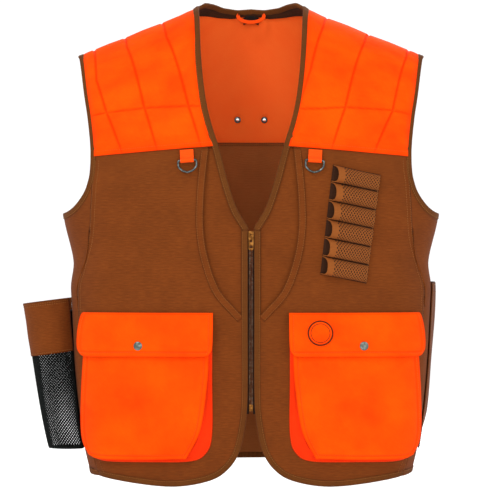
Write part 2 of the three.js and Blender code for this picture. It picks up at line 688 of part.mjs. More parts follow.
const pocketInnerEdge = () => smooth([
  onPocket(POCKET_CUT_WIDTH, 2), onPocket(POCKET_CUT_WIDTH * 0.36, POCKET_CUT_HEIGHT * 0.3),
  onPocket(POCKET_CUT_WIDTH * 0.06, POCKET_CUT_HEIGHT * 0.75), onPocket(0, POCKET_CUT_HEIGHT),
  onPocket(0, POCKET_HEIGHT),
]);
const pocketOuterEdge = () => smooth([
  onPocket(POCKET_WIDTH - 11, 7), onPocket(POCKET_WIDTH - 2, 30), onPocket(POCKET_WIDTH, 90),
  onPocket(POCKET_WIDTH, POCKET_HEIGHT),
]);
const pocketFoot = () => smooth([
  onPocket(POCKET_CUT_WIDTH, 2), onPocket(POCKET_WIDTH * 0.55, 0), onPocket(POCKET_WIDTH - 28, 1),
  onPocket(POCKET_WIDTH - 11, 7),
]);

function pocketFront() {
  const [left, right, bottom] = [pocketInnerEdge(), pocketOuterEdge(), pocketFoot()];
  const outline = patch(run(bottom), straight(run(left)(1), run(right)(1)), run(left), run(right));
  const high = (x, z) => pocketStand(x, z) + CANVAS;
  return piece(outline, front, pocketStand, high, 8, 9);
}

function pocketGusset() {
  const [left, right, bottom] = [pocketInnerEdge(), pocketOuterEdge(), pocketFoot()];
  const rim = smooth([
    ...[1, 0.82, 0.6, 0.4, 0.2, 0.06].map((t) => left.getPointAt(t)),
    ...[0.06, 0.5, 0.9].map((t) => bottom.getPointAt(t)),
    ...[0.06, 0.3, 0.6, 1].map((t) => right.getPointAt(t)),
  ]);
  const foot = smooth([
    onPocket(-GUSSET_SPREAD, POCKET_HEIGHT), onPocket(-GUSSET_SPREAD, POCKET_HEIGHT * 0.6),
    onPocket(-GUSSET_SPREAD, 40), onPocket(4, 10), onPocket(28, -2), onPocket(POCKET_WIDTH * 0.5, -4),
    onPocket(POCKET_WIDTH - 26, -3), onPocket(POCKET_WIDTH - 4, 10), onPocket(POCKET_WIDTH + 3, 40),
    onPocket(POCKET_WIDTH + 3, POCKET_HEIGHT),
  ]);
  const layer = (depth) => (u, v) => {
    const p = inset(foot, -depth)(u).lerp(inset(rim, -depth - SEAM_GAP)(u), v);
    const z = Math.min(p.y, POCKET_TOP - SEAM_GAP);
    const rimStand = pocketStand(p.x, z) - 4 * SEAM_GAP;
    return front(p.x, z, THREE.MathUtils.lerp(POCKET_BASE + SEAM_GAP, rimStand, v));
  };
  return sheet(26, 1, layer(CANVAS), layer(0));
}

const snapAt = vec2(POCKET_INNER + POCKET_WIDTH * 0.56, FLAP_TOP - FLAP_DROP + 16);
const SNAP_HOLE = SNAP_POST_RADIUS + 0.4;
const flapFace = (x, z) => front(x, z, flapStand(x, z) + CANVAS);
const pocketFace = (x, z) => front(x, z, pocketStand(x, z) + CANVAS);
const capFrame = frameOn(flapFace, snapAt.x, snapAt.y);
const studFrame = frameOn(pocketFace, snapAt.x, snapAt.y);

// Room under the cap's recess: it limits the stud's knob, and how far the socket reaches down to the stud.
const snapRoom = flapStand(snapAt.x, snapAt.y) - pocketStand(snapAt.x, snapAt.y) - CANVAS - 2 * SEAM_GAP;
const SNAP_KNOB_TOP = Math.min(SEAM_GAP + SNAP_PLATE + 0.9, snapRoom - SEAM_GAP);
const SNAP_SOCKET_DEPTH = Math.min(1.3, snapRoom - SNAP_PLATE - SEAM_GAP / 2);

function pocketFlap() {
  const inner = POCKET_INNER - FLAP_OVERHANG;
  const outer = POCKET_INNER + POCKET_WIDTH + FLAP_OVERHANG;
  const low = FLAP_TOP - FLAP_DROP;
  const corner = 12;
  const left = smooth([
    vec2(inner + corner / 2, low + corner / 4), vec2(inner + 1, low + corner),
    vec2(inner, low + FLAP_DROP / 2), vec2(inner, FLAP_TOP),
  ]);
  const right = smooth([
    vec2(outer - corner / 2, low + corner / 4), vec2(outer - 1, low + corner),
    vec2(outer, low + FLAP_DROP / 2), vec2(outer - 2, FLAP_TOP),
  ]);
  const bottom = smooth([
    run(left)(0), vec2(inner + corner * 1.6, low), vec2((inner + outer) / 2, low),
    vec2(outer - corner * 1.6, low), run(right)(0),
  ]);
  const outline = patch(run(bottom), straight(run(left)(1), run(right)(1)), run(left), run(right));
  const sheetOf = (u, v) => outline(u, 1 - (1 - v) ** 1.4);
  const flap = piece(sheetOf, front, flapStand, (x, z) => flapStand(x, z) + CANVAS, 10, 6);
  return cut(flap, rod(SNAP_HOLE, 12, capFrame));
}

// Cap, post and socket, riveted through the flap; the socket's recess faces the stud.
function snapCap() {
  const under = CANVAS + SEAM_GAP;
  return turned([
    [0, -under - SEAM_GAP], [2.6, -under - SEAM_GAP], [2.6, -under - SNAP_SOCKET_DEPTH],
    [SNAP_SOCKET_RADIUS, -under - SNAP_SOCKET_DEPTH],
    [SNAP_SOCKET_RADIUS, -under], [SNAP_POST_RADIUS, -under], [SNAP_POST_RADIUS, SEAM_GAP],
    [SNAP_CAP_RADIUS, SEAM_GAP], [SNAP_CAP_RADIUS, SEAM_GAP + 0.6], [SNAP_CAP_RADIUS - 1.5, SEAM_GAP + 1.5],
    [0, SEAM_GAP + 1.8],
  ], 12, capFrame);
}

function snapStud() {
  const under = -CANVAS - SEAM_GAP;
  return turned([
    [0, under - SNAP_PLATE], [4.2, under - SNAP_PLATE], [4.2, under], [SNAP_POST_RADIUS, under],
    [SNAP_POST_RADIUS, SEAM_GAP], [4.2, SEAM_GAP], [4.2, SEAM_GAP + SNAP_PLATE / 2],
    [SNAP_KNOB_RADIUS, SEAM_GAP + SNAP_PLATE], [SNAP_KNOB_RADIUS, SNAP_KNOB_TOP - 0.2],
    [0, SNAP_KNOB_TOP],
  ], 10, studFrame);
}

// Plain round patch sewn on the left flap.
function roundPatch() {
  const centre = vec2(gradeX(101), FLAP_TOP - FLAP_DROP * 0.46);
  const disc = (u, v) => {
    const angle = 2 * Math.PI * u;
    return vec2(Math.cos(angle), Math.sin(angle)).multiplyScalar(PATCH_RADIUS * v).add(centre);
  };
  const low = (x, z) => flapStand(x, z) + CANVAS + SEAM_GAP;
  return piece(disc, front, low, (x, z) => low(x, z) + TRIM, 20, 2, true);
}

// ---------------------------------------------------------------- zip

const zipFace = -HALF_DEPTH;
const TEETH_BACK = zipFace + 1.3;
const TEETH_FRONT = zipFace - 1.2;
const zipBottom = gradeZ(ZIP_BOTTOM);
const zipTop = gradeZ(ZIP_TOP);
const BOX_HEIGHT = 10;
const STOP_HEIGHT = 3;

const zipTape = () => box(
  TOOTH_OUTER + SEAM_GAP, TOOTH_OUTER + SEAM_GAP + TAPE_WIDTH, zipFace + 0.6, zipFace + 1.3,
  zipBottom - 4, zipTop + STOP_HEIGHT + 2);

const zipTeeth = () => box(
  TOOTH_INNER, TOOTH_OUTER, TEETH_FRONT, TEETH_BACK, zipBottom + BOX_HEIGHT + SEAM_GAP, zipTop);

const zipStop = () => box(
  TOOTH_INNER, TOOTH_OUTER, TEETH_FRONT, TEETH_BACK, zipTop + SEAM_GAP, zipTop + STOP_HEIGHT);

const zipBox = () => box(
  -TOOTH_OUTER, TOOTH_OUTER, TEETH_FRONT - 0.3, TEETH_BACK + 0.5, zipBottom, zipBottom + BOX_HEIGHT);

// Slider: two plates joined by the web between the tooth rows, with an arch on its face for the pull.
const PLATE_GAP = 0.6;
const PLATE = 1.4;
const ARCH_HEIGHT = 3.6;
const ARCH_WIDTH = 2.4;
const BAR = 1.4;
const sliderFoot = zipTop - SLIDER_HEIGHT / 2;
const pullAxis = new THREE.Vector3(0, TEETH_FRONT - PLATE_GAP - PLATE - 1.3, sliderFoot + 3.4);

function zipSlider() {
  const half = SLIDER_WIDTH / 2;
  const web = TOOTH_INNER / 2;
  const face = TEETH_FRONT - PLATE_GAP;
  const rear = TEETH_BACK + PLATE_GAP;
  const section = outlineOf([
    [-half, face - PLATE], [half, face - PLATE], [half, face], [web, face], [web, rear], [half, rear],
    [half, rear + PLATE], [-half, rear + PLATE], [-half, rear], [-web, rear], [-web, face], [-half, face],
  ]);
  const body = tidy(new THREE.ExtrudeGeometry(section, { depth: SLIDER_HEIGHT, bevelEnabled: false }));
  body.translate(0, 0, sliderFoot);
  const outside = face - PLATE;
  const top = outside - ARCH_HEIGHT;
  const [low, high] = [pullAxis.z - 2.6, pullAxis.z + 6];
  const arch = outlineOf([
    [outside + 0.4, low], [outside + 0.4, low + 1.2], [outside - 0.2, low + 1.2], [top + 1.2, low + 1.2],
    [top + 1.2, high - 1.4], [outside + 0.4, high - 1.4], [outside + 0.4, high], [top, high - 1], [top, low],
  ]);
  return join(body, alongX(arch, ARCH_WIDTH));
}

// Pull tab: a plate with a window round the arch and a slot near its free end.
function zipPull() {
  const half = PULL_WIDTH / 2;
  const top = BAR / 2;
  const plate = outlineOf([
    [-half, top], [half, top], [half, 2 - PULL_LENGTH], [half - 1.5, -PULL_LENGTH],
    [1.5 - half, -PULL_LENGTH], [-half, 2 - PULL_LENGTH],
  ]);
  const window = ARCH_WIDTH / 2 + 0.7;
  plate.holes.push(holeOf([[-window, -top], [-window, -6], [window, -6], [window, -top]]));
  plate.holes.push(holeOf([[-2.2, -11], [-2.2, -15], [2.2, -15], [2.2, -11]]));
  return alongY(plate, BAR).translate(pullAxis.x, pullAxis.y, pullAxis.z);
}

// ---------------------------------------------------------------- D-rings

const LOOP_WALL = 1.5;
const HOLE_RADIUS = RING_WIRE / 2 + RING_CLEARANCE;
const LOOP_RADIUS = HOLE_RADIUS + LOOP_WALL;
const ringX = gradeX(94);
const padFootHere = levelSeam(padCorner, onFront(229, 489))((ringX - gradeX(61)) / gradeX(168)).y;
const ringFrame = frameOn(
  (x, h) => front(x, h, SHELL_FACE + 0.5 + LOOP_RADIUS), ringX, padFootHere - 2.5 - STRAP_DROP);

function ringLoop() {
  const shape = new THREE.Shape();
  shape.moveTo(LOOP_RADIUS - 0.2, STRAP_DROP);
  shape.lineTo(LOOP_RADIUS, 0);
  shape.absarc(0, 0, LOOP_RADIUS, 0, -1.45 * Math.PI, true);
  shape.lineTo(LOOP_RADIUS - 2.8, STRAP_DROP);
  shape.closePath();
  shape.holes.push(new THREE.Path().absarc(0, 0, HOLE_RADIUS, 0, 2 * Math.PI, false));
  return tidy(alongX(shape, WEBBING_WIDTH).applyMatrix4(ringFrame));
}

function dRing() {
  const half = RING_WIDTH / 2;
  const wire = RING_WIRE;
  const foot = wire / 2 - RING_HEIGHT;
  const ring = outlineOf([
    [-half, wire / 2], [half, wire / 2], [half, foot + 11], [half * 0.6, foot + 3.6], [0, foot],
    [-half * 0.6, foot + 3.6], [-half, foot + 11],
  ]);
  ring.holes.push(holeOf([
    [-half + wire, -wire / 2], [-half + wire, foot + 12], [(-half + wire) * 0.6, foot + 6.4],
    [0, foot + wire + 0.3], [(half - wire) * 0.6, foot + 6.4], [half - wire, foot + 12],
    [half - wire, -wire / 2],
  ]));
  return tidy(alongY(ring, wire, 0.7).applyMatrix4(ringFrame));
}

// ---------------------------------------------------------------- shell holder

const HOLDER = {
  lowInner: onFront(102, 315),
  lowOuter: onFront(170, 301),
  highInner: onFront(121, 477),
  highOuter: onFront(191, 462),
};
const holder = (u, v) => HOLDER.lowInner.clone().lerp(HOLDER.lowOuter, u)
  .lerp(HOLDER.highInner.clone().lerp(HOLDER.highOuter, u), v);
const HOLDER_HEIGHT = HOLDER.lowInner.distanceTo(HOLDER.highInner);

const shellBacking = () => piece(holder, front, TRIM_LAYER, TRIM_LAYER + TRIM, 4, 6);

// One elastic loop: an arch from foot to foot, open at both ends.
function shellLoop(number) {
  const pitch = HOLDER_HEIGHT / SHELL_LOOPS;
  const middle = pitch * (number + 0.5);
  const foot = TRIM_LAYER + TRIM + 0.5;
  const layer = (inward) => (u, w) => {
    const turn = Math.PI * w;
    const along = middle - (pitch / 2 - LOOP_MARGIN - inward) * Math.cos(turn);
    const p = holder(0.01 + 0.98 * u, along / HOLDER_HEIGHT);
    return front(p.x, p.y, foot + (LOOP_HEIGHT - inward) * Math.sin(turn));
  };
  return sheet(2, 8, layer(ELASTIC), layer(0));
}

// ---------------------------------------------------------------- bottle pocket, on the wearer's right

const BOTTLE_TOP = gradeZ(258);
const BOTTLE_BOTTOM = gradeZ(50);
const BOTTLE_Y = -6;
const BAND_RISE = 14;
const POUCH_FLOOR_FROM = 0.8;
const BOTTLE_GAP = 0.8;

// Point on the pouch wall: share down its height, angle round it, and distance in from its outside.
function pouchPoint(down, angle, inward) {
  const radius = THREE.MathUtils.lerp(BOTTLE_TOP_RADIUS, BOTTLE_BOTTOM_RADIUS, down) - inward;
  const z = THREE.MathUtils.lerp(BOTTLE_TOP, BOTTLE_BOTTOM, down);
  const wall = halfWidth(z) + SHELL_FACE + BOTTLE_GAP;
  const middle = wall + BOTTLE_TOP_RADIUS - 5 - BOTTLE_LEAN * down * 0.35;
  const x = Math.max(middle + radius * Math.cos(angle), wall + inward);
  return new THREE.Vector3(-x, BOTTLE_Y + radius * Math.sin(angle), z);
}

// Mesh pouch: a cup with its floor, open at the top.
function bottleMesh() {
  const layer = (inward) => (u, v) => {
    const angle = 2 * Math.PI * u;
    const down = Math.min(1, v / POUCH_FLOOR_FROM);
    const point = pouchPoint(down, angle, inward);
    const floor = Math.max(0, (v - POUCH_FLOOR_FROM) / (1 - POUCH_FLOOR_FROM));
    const centre = pouchPoint(1, 0, inward).add(pouchPoint(1, Math.PI, inward)).multiplyScalar(0.5);
    centre.y = BOTTLE_Y;
    point.lerp(centre, floor);
    point.z += (v >= POUCH_FLOOR_FROM ? inward : 0);
    return point;
  };
  return sheet(20, 5, layer(MESH), layer(0), true);
}

// Canvas band round the outer side of the pouch, standing above the mesh rim.
function bottleBand() {
  const start = -0.62 * Math.PI;
  const height = BOTTLE_TOP - BOTTLE_BOTTOM;
  const layer = (outward) => (u, v) => {
    const angle = THREE.MathUtils.lerp(start, -start, u);
    const z = BOTTLE_TOP + BAND_RISE - BOTTLE_BAND_HEIGHT * (1 - v);
    const down = (BOTTLE_TOP - z) / height;
    return pouchPoint(down, angle, -outward);
  };
  return sheet(12, 2, layer(BOTTLE_GAP), layer(BOTTLE_GAP + CANVAS));
}

// ---------------------------------------------------------------- game bag

function gameBag() {
  const [low, high] = [gradeZ(52), gradeZ(300)];
  const [leftEdge, rightEdge] = [0.46 * Math.PI, 1.42 * Math.PI];
  const outline = (u, v) => vec2(
    THREE.MathUtils.lerp(leftEdge, rightEdge, u), THREE.MathUtils.lerp(low, high, v));
  const stand = (x, h, u, v) => {
    const side = Math.sin(Math.min(1, 7 * Math.min(u, 1 - u)) * Math.PI / 2);
    const foot = Math.sin(Math.min(1, 4 * v) * Math.PI / 2);
    return TRIM_LAYER + SEAM_GAP + GAME_BAG_DEPTH * side * foot;
  };
  return piece(outline, wrap, stand, (x, h, u, v) => stand(x, h, u, v) + CANVAS, 22, 6);
}

// ---------------------------------------------------------------- neck fittings

const hangerTop = gradeZ(719);
const neckInside = back(HANGER_WIDTH / 2, frontH(HANGER_WIDTH / 2, hangerTop), BINDING_LAYER).y;
const hangerY = neckInside - 1 - HANGER_TAPE / 2;
const hangPoint = new THREE.Vector3(0, hangerY, hangerTop - HANGER_DROP + HANGER_THICKNESS);

function hangerLoop() {
  const half = HANGER_WIDTH / 2;
  const arc = (radiusX, radiusZ) => {
    const points = [];
    for (let i = 0; i <= 14; i += 1) {
      const angle = Math.PI * (1 + i / 14);
      points.push([radiusX * Math.cos(angle), radiusZ * Math.sin(angle)]);
    }
    return points;
  };
  const shape = outlineOf([
    ...arc(half, HANGER_DROP),
    ...arc(half - HANGER_THICKNESS, HANGER_DROP - HANGER_THICKNESS).reverse(),
  ]);
  return alongY(shape, HANGER_TAPE).translate(0, hangerY, hangerTop);
}

function neckLabel() {
  const top = gradeZ(712);
  const outline = (u, v) => {
    const x = (u - 0.5) * LABEL_WIDTH;
    return vec2(x, frontH(x, top - LABEL_HEIGHT * (1 - v)));
  };
  return piece(outline, back, FACING_LAYER - 1.2, FACING_LAYER - 0.5, 2, 2);
}

const grommetFrames = [-1, 1].map((side) => frameOn(
  (x, h) => back(-x, h, OUTER_LAYER), side * gradeX(21), onFront(21, 555).y));

// Two-part eyelet closed over the yoke's edge: a bore with a flange on each face.
function grommet(frame) {
  const [barrel, rim, plate] = [GROMMET_BORE + 0.6, GROMMET_RADIUS, SNAP_PLATE];
  const [low, high] = [-SEAM_GAP, CANVAS + SEAM_GAP];
  const profile = [
    [GROMMET_BORE, low - plate], [rim, low - plate], [rim, low], [barrel, low], [barrel, high], [rim, high],
    [rim, high + plate], [GROMMET_BORE, high + plate], [GROMMET_BORE, low - plate],
  ];
  return turned(profile, 12, frame);
}

// ---------------------------------------------------------------- assembly

const group = new THREE.Group();

function add(name, geometry, material) {
  const mesh = new THREE.Mesh(geometry, material);
  mesh.name = name;
  group.add(mesh);
}

function addPair(name, geometry, material) {
  add(`${name}_L`, geometry, material);
  add(`${name}_R`, mirrored(geometry), material);
}

addPair('front_panel', frontPanel(), CANVAS_BROWN);
addPair('inner_front', innerFront(), CANVAS_BROWN);
addPair('side_panel', sidePanel(), CANVAS_BROWN);
addPair('shoulder_pad', shoulderPad(), BLAZE_ORANGE);
addPair('pocket_band', pocketBand(), CANVAS_BROWN);
add('back_panel', backSheet(0, OUTER_LAYER, SHELL_FACE), CANVAS_BROWN);
add('back_lining', backSheet(SEAM_GAP, 0, CANVAS), LINING_BROWN);
add('back_yoke', backYoke(), BLAZE_ORANGE);
add('neck_facing', neckFacing(), FACING_BROWN);
add('neck_binding', neckBinding(), BINDING_BROWN);
addPair('front_binding', frontBinding(), BINDING_BROWN);
add('back_hem_binding', backHemBinding(), BINDING_BROWN);
addPair('armhole_binding', armholeBinding(), BINDING_BROWN);
addPair('zip_tape', zipTape(), ZIP_BLACK);
addPair('zip_teeth', zipTeeth(), ANTIQUE_BRASS);
addPair('zip_stop', zipStop(), ANTIQUE_BRASS);
add('zip_box', zipBox(), ANTIQUE_BRASS);
add('zip_slider', zipSlider(), ANTIQUE_BRASS);
add('zip_pull', zipPull(), ANTIQUE_BRASS);
addPair('ring_loop', ringLoop(), BLAZE_ORANGE);
addPair('d_ring', dRing(), GUNMETAL);
add('shell_backing', shellBacking(), ELASTIC_BROWN);
for (let number = 0; number < SHELL_LOOPS; number += 1) {
  add(`shell_loop_${SHELL_LOOPS - number}`, shellLoop(number), ELASTIC_BROWN);
}
addPair('pocket_front', cut(pocketFront(), rod(SNAP_HOLE, 12, studFrame)), BLAZE_ORANGE);
addPair('pocket_gusset', pocketGusset(), BLAZE_ORANGE);
addPair('pocket_flap', pocketFlap(), BLAZE_ORANGE);
addPair('snap_cap', snapCap(), GUNMETAL);
addPair('snap_stud', snapStud(), GUNMETAL);
add('round_patch', roundPatch(), BLAZE_ORANGE);
add('bottle_mesh', bottleMesh(), MESH_BLACK);
add('bottle_band', bottleBand(), CANVAS_BROWN);
add('game_bag', gameBag(), LINING_BROWN);
add('hanger_loop', hangerLoop(), BLAZE_ORANGE);
add('neck_label', neckLabel(), LABEL_BLACK);
add('grommet_L', grommet(grommetFrames[0]), GUNMETAL);
add('grommet_R', grommet(grommetFrames[1]), GUNMETAL);

group.position.copy(hangPoint).negate();

export default group;
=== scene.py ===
"""Upland field vest in brown duck canvas and blaze orange twill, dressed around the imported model.

Drafting is done in millimetres on the same body form as the solids, and every piece is then placed in the
row frame in metres. +X is the wearer's left, the front faces -Y and +Z is up.
"""

import json
import logging
import math
from dataclasses import dataclass, field
from enum import Enum
from typing import Callable, Optional, Sequence

import bmesh
import bpy
import numpy as np
from mathutils import Matrix, Vector


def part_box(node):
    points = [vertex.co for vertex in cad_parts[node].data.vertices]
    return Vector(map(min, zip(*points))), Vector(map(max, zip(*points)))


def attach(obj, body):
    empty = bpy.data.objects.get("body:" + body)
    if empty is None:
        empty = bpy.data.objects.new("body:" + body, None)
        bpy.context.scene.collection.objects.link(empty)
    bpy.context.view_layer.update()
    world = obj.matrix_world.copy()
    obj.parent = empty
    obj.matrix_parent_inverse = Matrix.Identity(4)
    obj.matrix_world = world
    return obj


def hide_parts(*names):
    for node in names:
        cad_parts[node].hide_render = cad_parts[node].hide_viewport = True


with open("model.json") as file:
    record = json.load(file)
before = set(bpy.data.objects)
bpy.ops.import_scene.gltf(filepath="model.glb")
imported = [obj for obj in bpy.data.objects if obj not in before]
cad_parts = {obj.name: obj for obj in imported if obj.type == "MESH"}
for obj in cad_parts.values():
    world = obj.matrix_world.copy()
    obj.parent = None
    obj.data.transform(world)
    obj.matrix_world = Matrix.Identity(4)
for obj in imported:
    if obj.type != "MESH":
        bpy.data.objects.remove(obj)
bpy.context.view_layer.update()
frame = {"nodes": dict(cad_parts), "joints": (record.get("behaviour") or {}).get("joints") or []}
LOG = logging.getLogger("vest")

Array = np.ndarray
Edge = Callable[[Array], Array]
Lift = Callable[[Array, Array, Array], Array]

HANG_POINT = np.array([0.0, 66.606, 704.2])
MM = 0.001
SIDES = {"L": 1.0, "R": -1.0}


class Held(Enum):
    """How a cloth piece is held."""

    HUNG = "hung"
    STRETCHED = "stretched"
    FOLDED = "folded"


# ------------------------------------------------------------------------------------ drafting


def through(knots: Sequence[Sequence[float]]) -> Callable[[Array], Array]:
    """Smooth value through knots, flat beyond the ends.

    Args:
        knots: pairs of a place and the value there.
    Returns:
        A function of an array of places.
    """
    at = np.array([k[0] for k in knots], float)
    value = np.array([k[1] for k in knots], float)
    low = np.maximum(np.arange(len(at)) - 1, 0)
    high = np.minimum(np.arange(len(at)) + 1, len(at) - 1)
    slope = (value[high] - value[low]) / (at[high] - at[low])

    def evaluate(place: Array) -> Array:
        """Value at each place."""
        p = np.clip(place, at[0], at[-1])
        i = np.clip(np.searchsorted(at, p, side="right") - 1, 0, len(at) - 2)
        span = at[i + 1] - at[i]
        t = (p - at[i]) / span
        rise = t * t * (3 - 2 * t)
        lead = t * (1 - t) ** 2 * slope[i] * span
        trail = t * t * (t - 1) * slope[i + 1] * span
        return value[i] * (1 - rise) + value[i + 1] * rise + lead + trail

    return evaluate


@dataclass(frozen=True)
class BodyForm:
    """The wearer's trunk that the vest is cut for, in drafting millimetres."""

    half_depth: float = 125.0
    squareness: float = 2.8
    chest_line: float = 450.0
    ridge_span: float = 270.0
    shoulder_tip: tuple = (261.0, 642.0)
    shoulder_slope: float = 0.397
    neck_rise: float = 60.0
    neck_reach: float = 110.0
    soft_middle: float = 24.0
    widths: tuple = ((0, 238), (60, 252), (150, 262), (291, 270), (335, 265), (407, 282), (520, 284))

    @property
    def ridge(self) -> float:
        """Pattern height of the shoulder line."""
        return self.chest_line + self.ridge_span * math.pi / 2

    def half_width(self, z: Array) -> Array:
        """Half the form's width at a height."""
        return through(self.widths)(z)

    def shoulder_height(self, x: Array) -> Array:
        """Height of the shoulder line at a distance from the middle."""
        x, w = np.abs(x), self.soft_middle
        x = np.where(x < w, (x * x / w + w) / 2, x)
        reach = np.maximum(0, self.neck_reach - x) / self.neck_reach
        slope = self.shoulder_slope * (self.shoulder_tip[0] - x)
        return self.shoulder_tip[1] + slope + self.neck_rise * reach**2

    def point(self, x: Array, h: Array) -> Array:
        """Point of the form: h is height to the chest line, then runs over the shoulder."""
        turn = np.maximum(0, (h - self.chest_line) / self.ridge_span)
        over = self.chest_line + (self.shoulder_height(x) - self.chest_line) * np.sin(turn)
        z = np.where(turn > 0, over, h)
        side = np.minimum(1, np.abs(x) / self.half_width(z)) ** self.squareness
        y = -self.half_depth * (1 - side) ** (1 / self.squareness) * np.cos(turn)
        return np.stack([x + 0 * z, y, z], -1)

    def wrap_point(self, angle: Array, h: Array) -> Array:
        """Point of the form by the angle round the body, 0 at the front middle."""

        def power(value: Array) -> Array:
            """Superellipse power that keeps the sign."""
            return np.sign(value) * np.abs(value) ** (2 / self.squareness)

        low = np.minimum(h, self.chest_line)
        x = self.half_width(low) * power(np.sin(angle))
        plain = np.stack([x, -self.half_depth * power(np.cos(angle)), h + 0 * x], -1)
        behind = np.where(np.cos(angle) < 0, -1.0, 1.0)
        over = self.point(x, h) * np.stack([np.ones_like(behind), behind, np.ones_like(behind)], -1)
        return np.where((h > self.chest_line)[..., None], over, plain)

    def pattern_height(self, x: Array, z: Array) -> Array:
        """Pattern height of a point seen at (x, z) from the front."""
        share = np.clip((z - self.chest_line) / (self.shoulder_height(x) - self.chest_line), 0, 1)
        return np.where(z <= self.chest_line, z, self.chest_line + self.ridge_span * np.arcsin(share))


FORM = BodyForm()
RIDGE = FORM.ridge


@dataclass(frozen=True)
class Drape:
    """Gentle waves of worn cloth: the same field for all layers, so that they stay together."""

    waves: int = 9
    shortest: float = 75.0
    longest: float = 210.0
    height: float = 0.95
    seed: int = 11

    def offset(self, p: Array) -> Array:
        """Outward offset in millimetres.

        Args:
            p: points of the form.
        Returns:
            The offset of each point.
        """
        rng = np.random.RandomState(self.seed)
        total = np.zeros(p.shape[:-1])
        for _ in range(self.waves):
            length = rng.uniform(self.shortest, self.longest)
            direction = rng.normal(size=3) * np.array([1.5, 1.0, 0.55])
            direction /= np.linalg.norm(direction)
            phase = rng.uniform(0, 2 * math.pi)
            total += np.sin(2 * math.pi * (p @ direction) / length + phase)
        hem = 1 + 1.1 * np.clip((150 - p[..., 2]) / 150, 0, 1)
        calm_front = np.clip((np.abs(p[..., 0]) - 14) / 45, 0, 1)
        calm = np.where(p[..., 1] < 0, calm_front, 1)
        top = np.clip((700 - p[..., 2]) / 120, 0.15, 1)
        return total * self.height / math.sqrt(self.waves / 2) * hem * calm * top


DRAPE = Drape()


def lifter(form: Callable[[Array, Array], Array], step_a: float, step_b: float, sign: float = 1.0) -> Lift:
    """Makes a function that lifts pattern points off a form along its outward normal.

    Args:
        form: the form.
        step_a: step for slopes along the first coordinate.
        step_b: step for slopes along the second.
        sign: -1 mirrors the result to the back.
    Returns:
        A function of a, b and the offset.
    """

    def lift(a: Array, b: Array, offset: Array) -> Array:
        """Lifted points in drafting millimetres."""
        along_a = form(a + step_a, b) - form(a - step_a, b)
        along_b = form(a, b + step_b) - form(a, b - step_b)
        normal = np.cross(along_a, along_b)
        normal /= np.maximum(np.linalg.norm(normal, axis=-1, keepdims=True), 1e-9)
        base = form(a, b)
        flipped = base * np.array([1, sign, 1])
        out = base + normal * (offset + DRAPE.offset(flipped))[..., None]
        return out * np.array([1, sign, 1])

    return lift


FRONT = lifter(FORM.point, 0.5, 0.5)
BACK = lifter(FORM.point, 0.5, 0.5, -1.0)
WRAP = lifter(FORM.wrap_point, 0.002, 0.5)


def pt(x: float, h: float) -> Array:
    """A pattern point."""
    return np.array([x, h], float)


def on_front(x: float, z: float) -> Array:
    """Pattern point seen at (x, z) on the front."""
    return pt(x, float(FORM.pattern_height(np.array(x), np.array(z))))


def past_ridge(x: float, z: float) -> Array:
    """Pattern point seen at (x, z) behind the shoulder line."""
    share = min(1.0, (z - FORM.chest_line) / (float(FORM.shoulder_height(np.array(x))) - FORM.chest_line))
    return pt(x, FORM.chest_line + FORM.ridge_span * (math.pi - math.asin(share)))


class Seam:
    """A drafted curve through points, walked by its length."""

    def __init__(self, points: Sequence[Array]) -> None:
        """Samples a spline through the points densely."""
        p = np.array([points[0], *points, points[-1]], float)
        t = np.linspace(0, 1, 160, endpoint=False)[:, None]
        runs = []
        for i in range(len(points) - 1):
            a, b, c, d = p[i], p[i + 1], p[i + 2], p[i + 3]
            m0, m1 = (c - a) / 2, (d - b) / 2
            run = (2 * t**3 - 3 * t**2 + 1) * b + (t**3 - 2 * t**2 + t) * m0
            runs.append(run + (3 * t**2 - 2 * t**3) * c + (t**3 - t**2) * m1)
        self.line = np.vstack([*runs, p[-1:]])
        step = np.linalg.norm(np.diff(self.line, axis=0), axis=1)
        self.length = np.concatenate([[0], np.cumsum(step)])
        self.slope = np.gradient(self.line, self.length + np.arange(len(self.line)) * 1e-9, axis=0)

    def at(self, t: Array) -> Array:
        """Points at shares of the length."""
        s = np.clip(t, 0, 1) * self.length[-1]
        return np.stack([np.interp(s, self.length, self.line[:, k]) for k in (0, 1)], -1)

    def inset(self, distance: float, start: float = 0.0, end: float = 1.0) -> Edge:
        """A run of the curve moved to the right of its direction."""

        def edge(t: Array) -> Array:
            """Moved points."""
            s = np.clip(start + (end - start) * np.asarray(t, float), 0, 1) * self.length[-1]
            p = np.stack([np.interp(s, self.length, self.line[:, k]) for k in (0, 1)], -1)
            g = np.stack([np.interp(s, self.length, self.slope[:, k]) for k in (0, 1)], -1)
            g /= np.linalg.norm(g, axis=-1, keepdims=True)
            return p + np.stack([g[..., 1], -g[..., 0]], -1) * distance

        return edge

    def run(self, start: float = 0.0, end: float = 1.0) -> Edge:
        """A run of the curve itself."""
        return self.inset(0.0, start, end)


def chain(first: Edge, second: Edge, share: float) -> Edge:
    """Two edges joined end to end, with the joint at a share of the whole."""

    def edge(t: Array) -> Array:
        """Joined points."""
        t = np.asarray(t, float)
        a = first(np.clip(t / share, 0, 1))
        b = second(np.clip((t - share) / (1 - share), 0, 1))
        return np.where((t < share)[..., None], a, b)

    return edge


def flip(edge: Edge) -> Edge:
    """An edge walked the other way."""
    return lambda t: edge(1 - np.asarray(t, float))


def straight(p: Array, q: Array) -> Edge:
    """A straight edge."""
    return lambda t: p + (q - p) * np.asarray(t, float)[..., None]


def mirror_edge(edge: Edge) -> Edge:
    """An edge on the other side of the middle."""
    return lambda t: edge(t) * np.array([-1.0, 1.0])


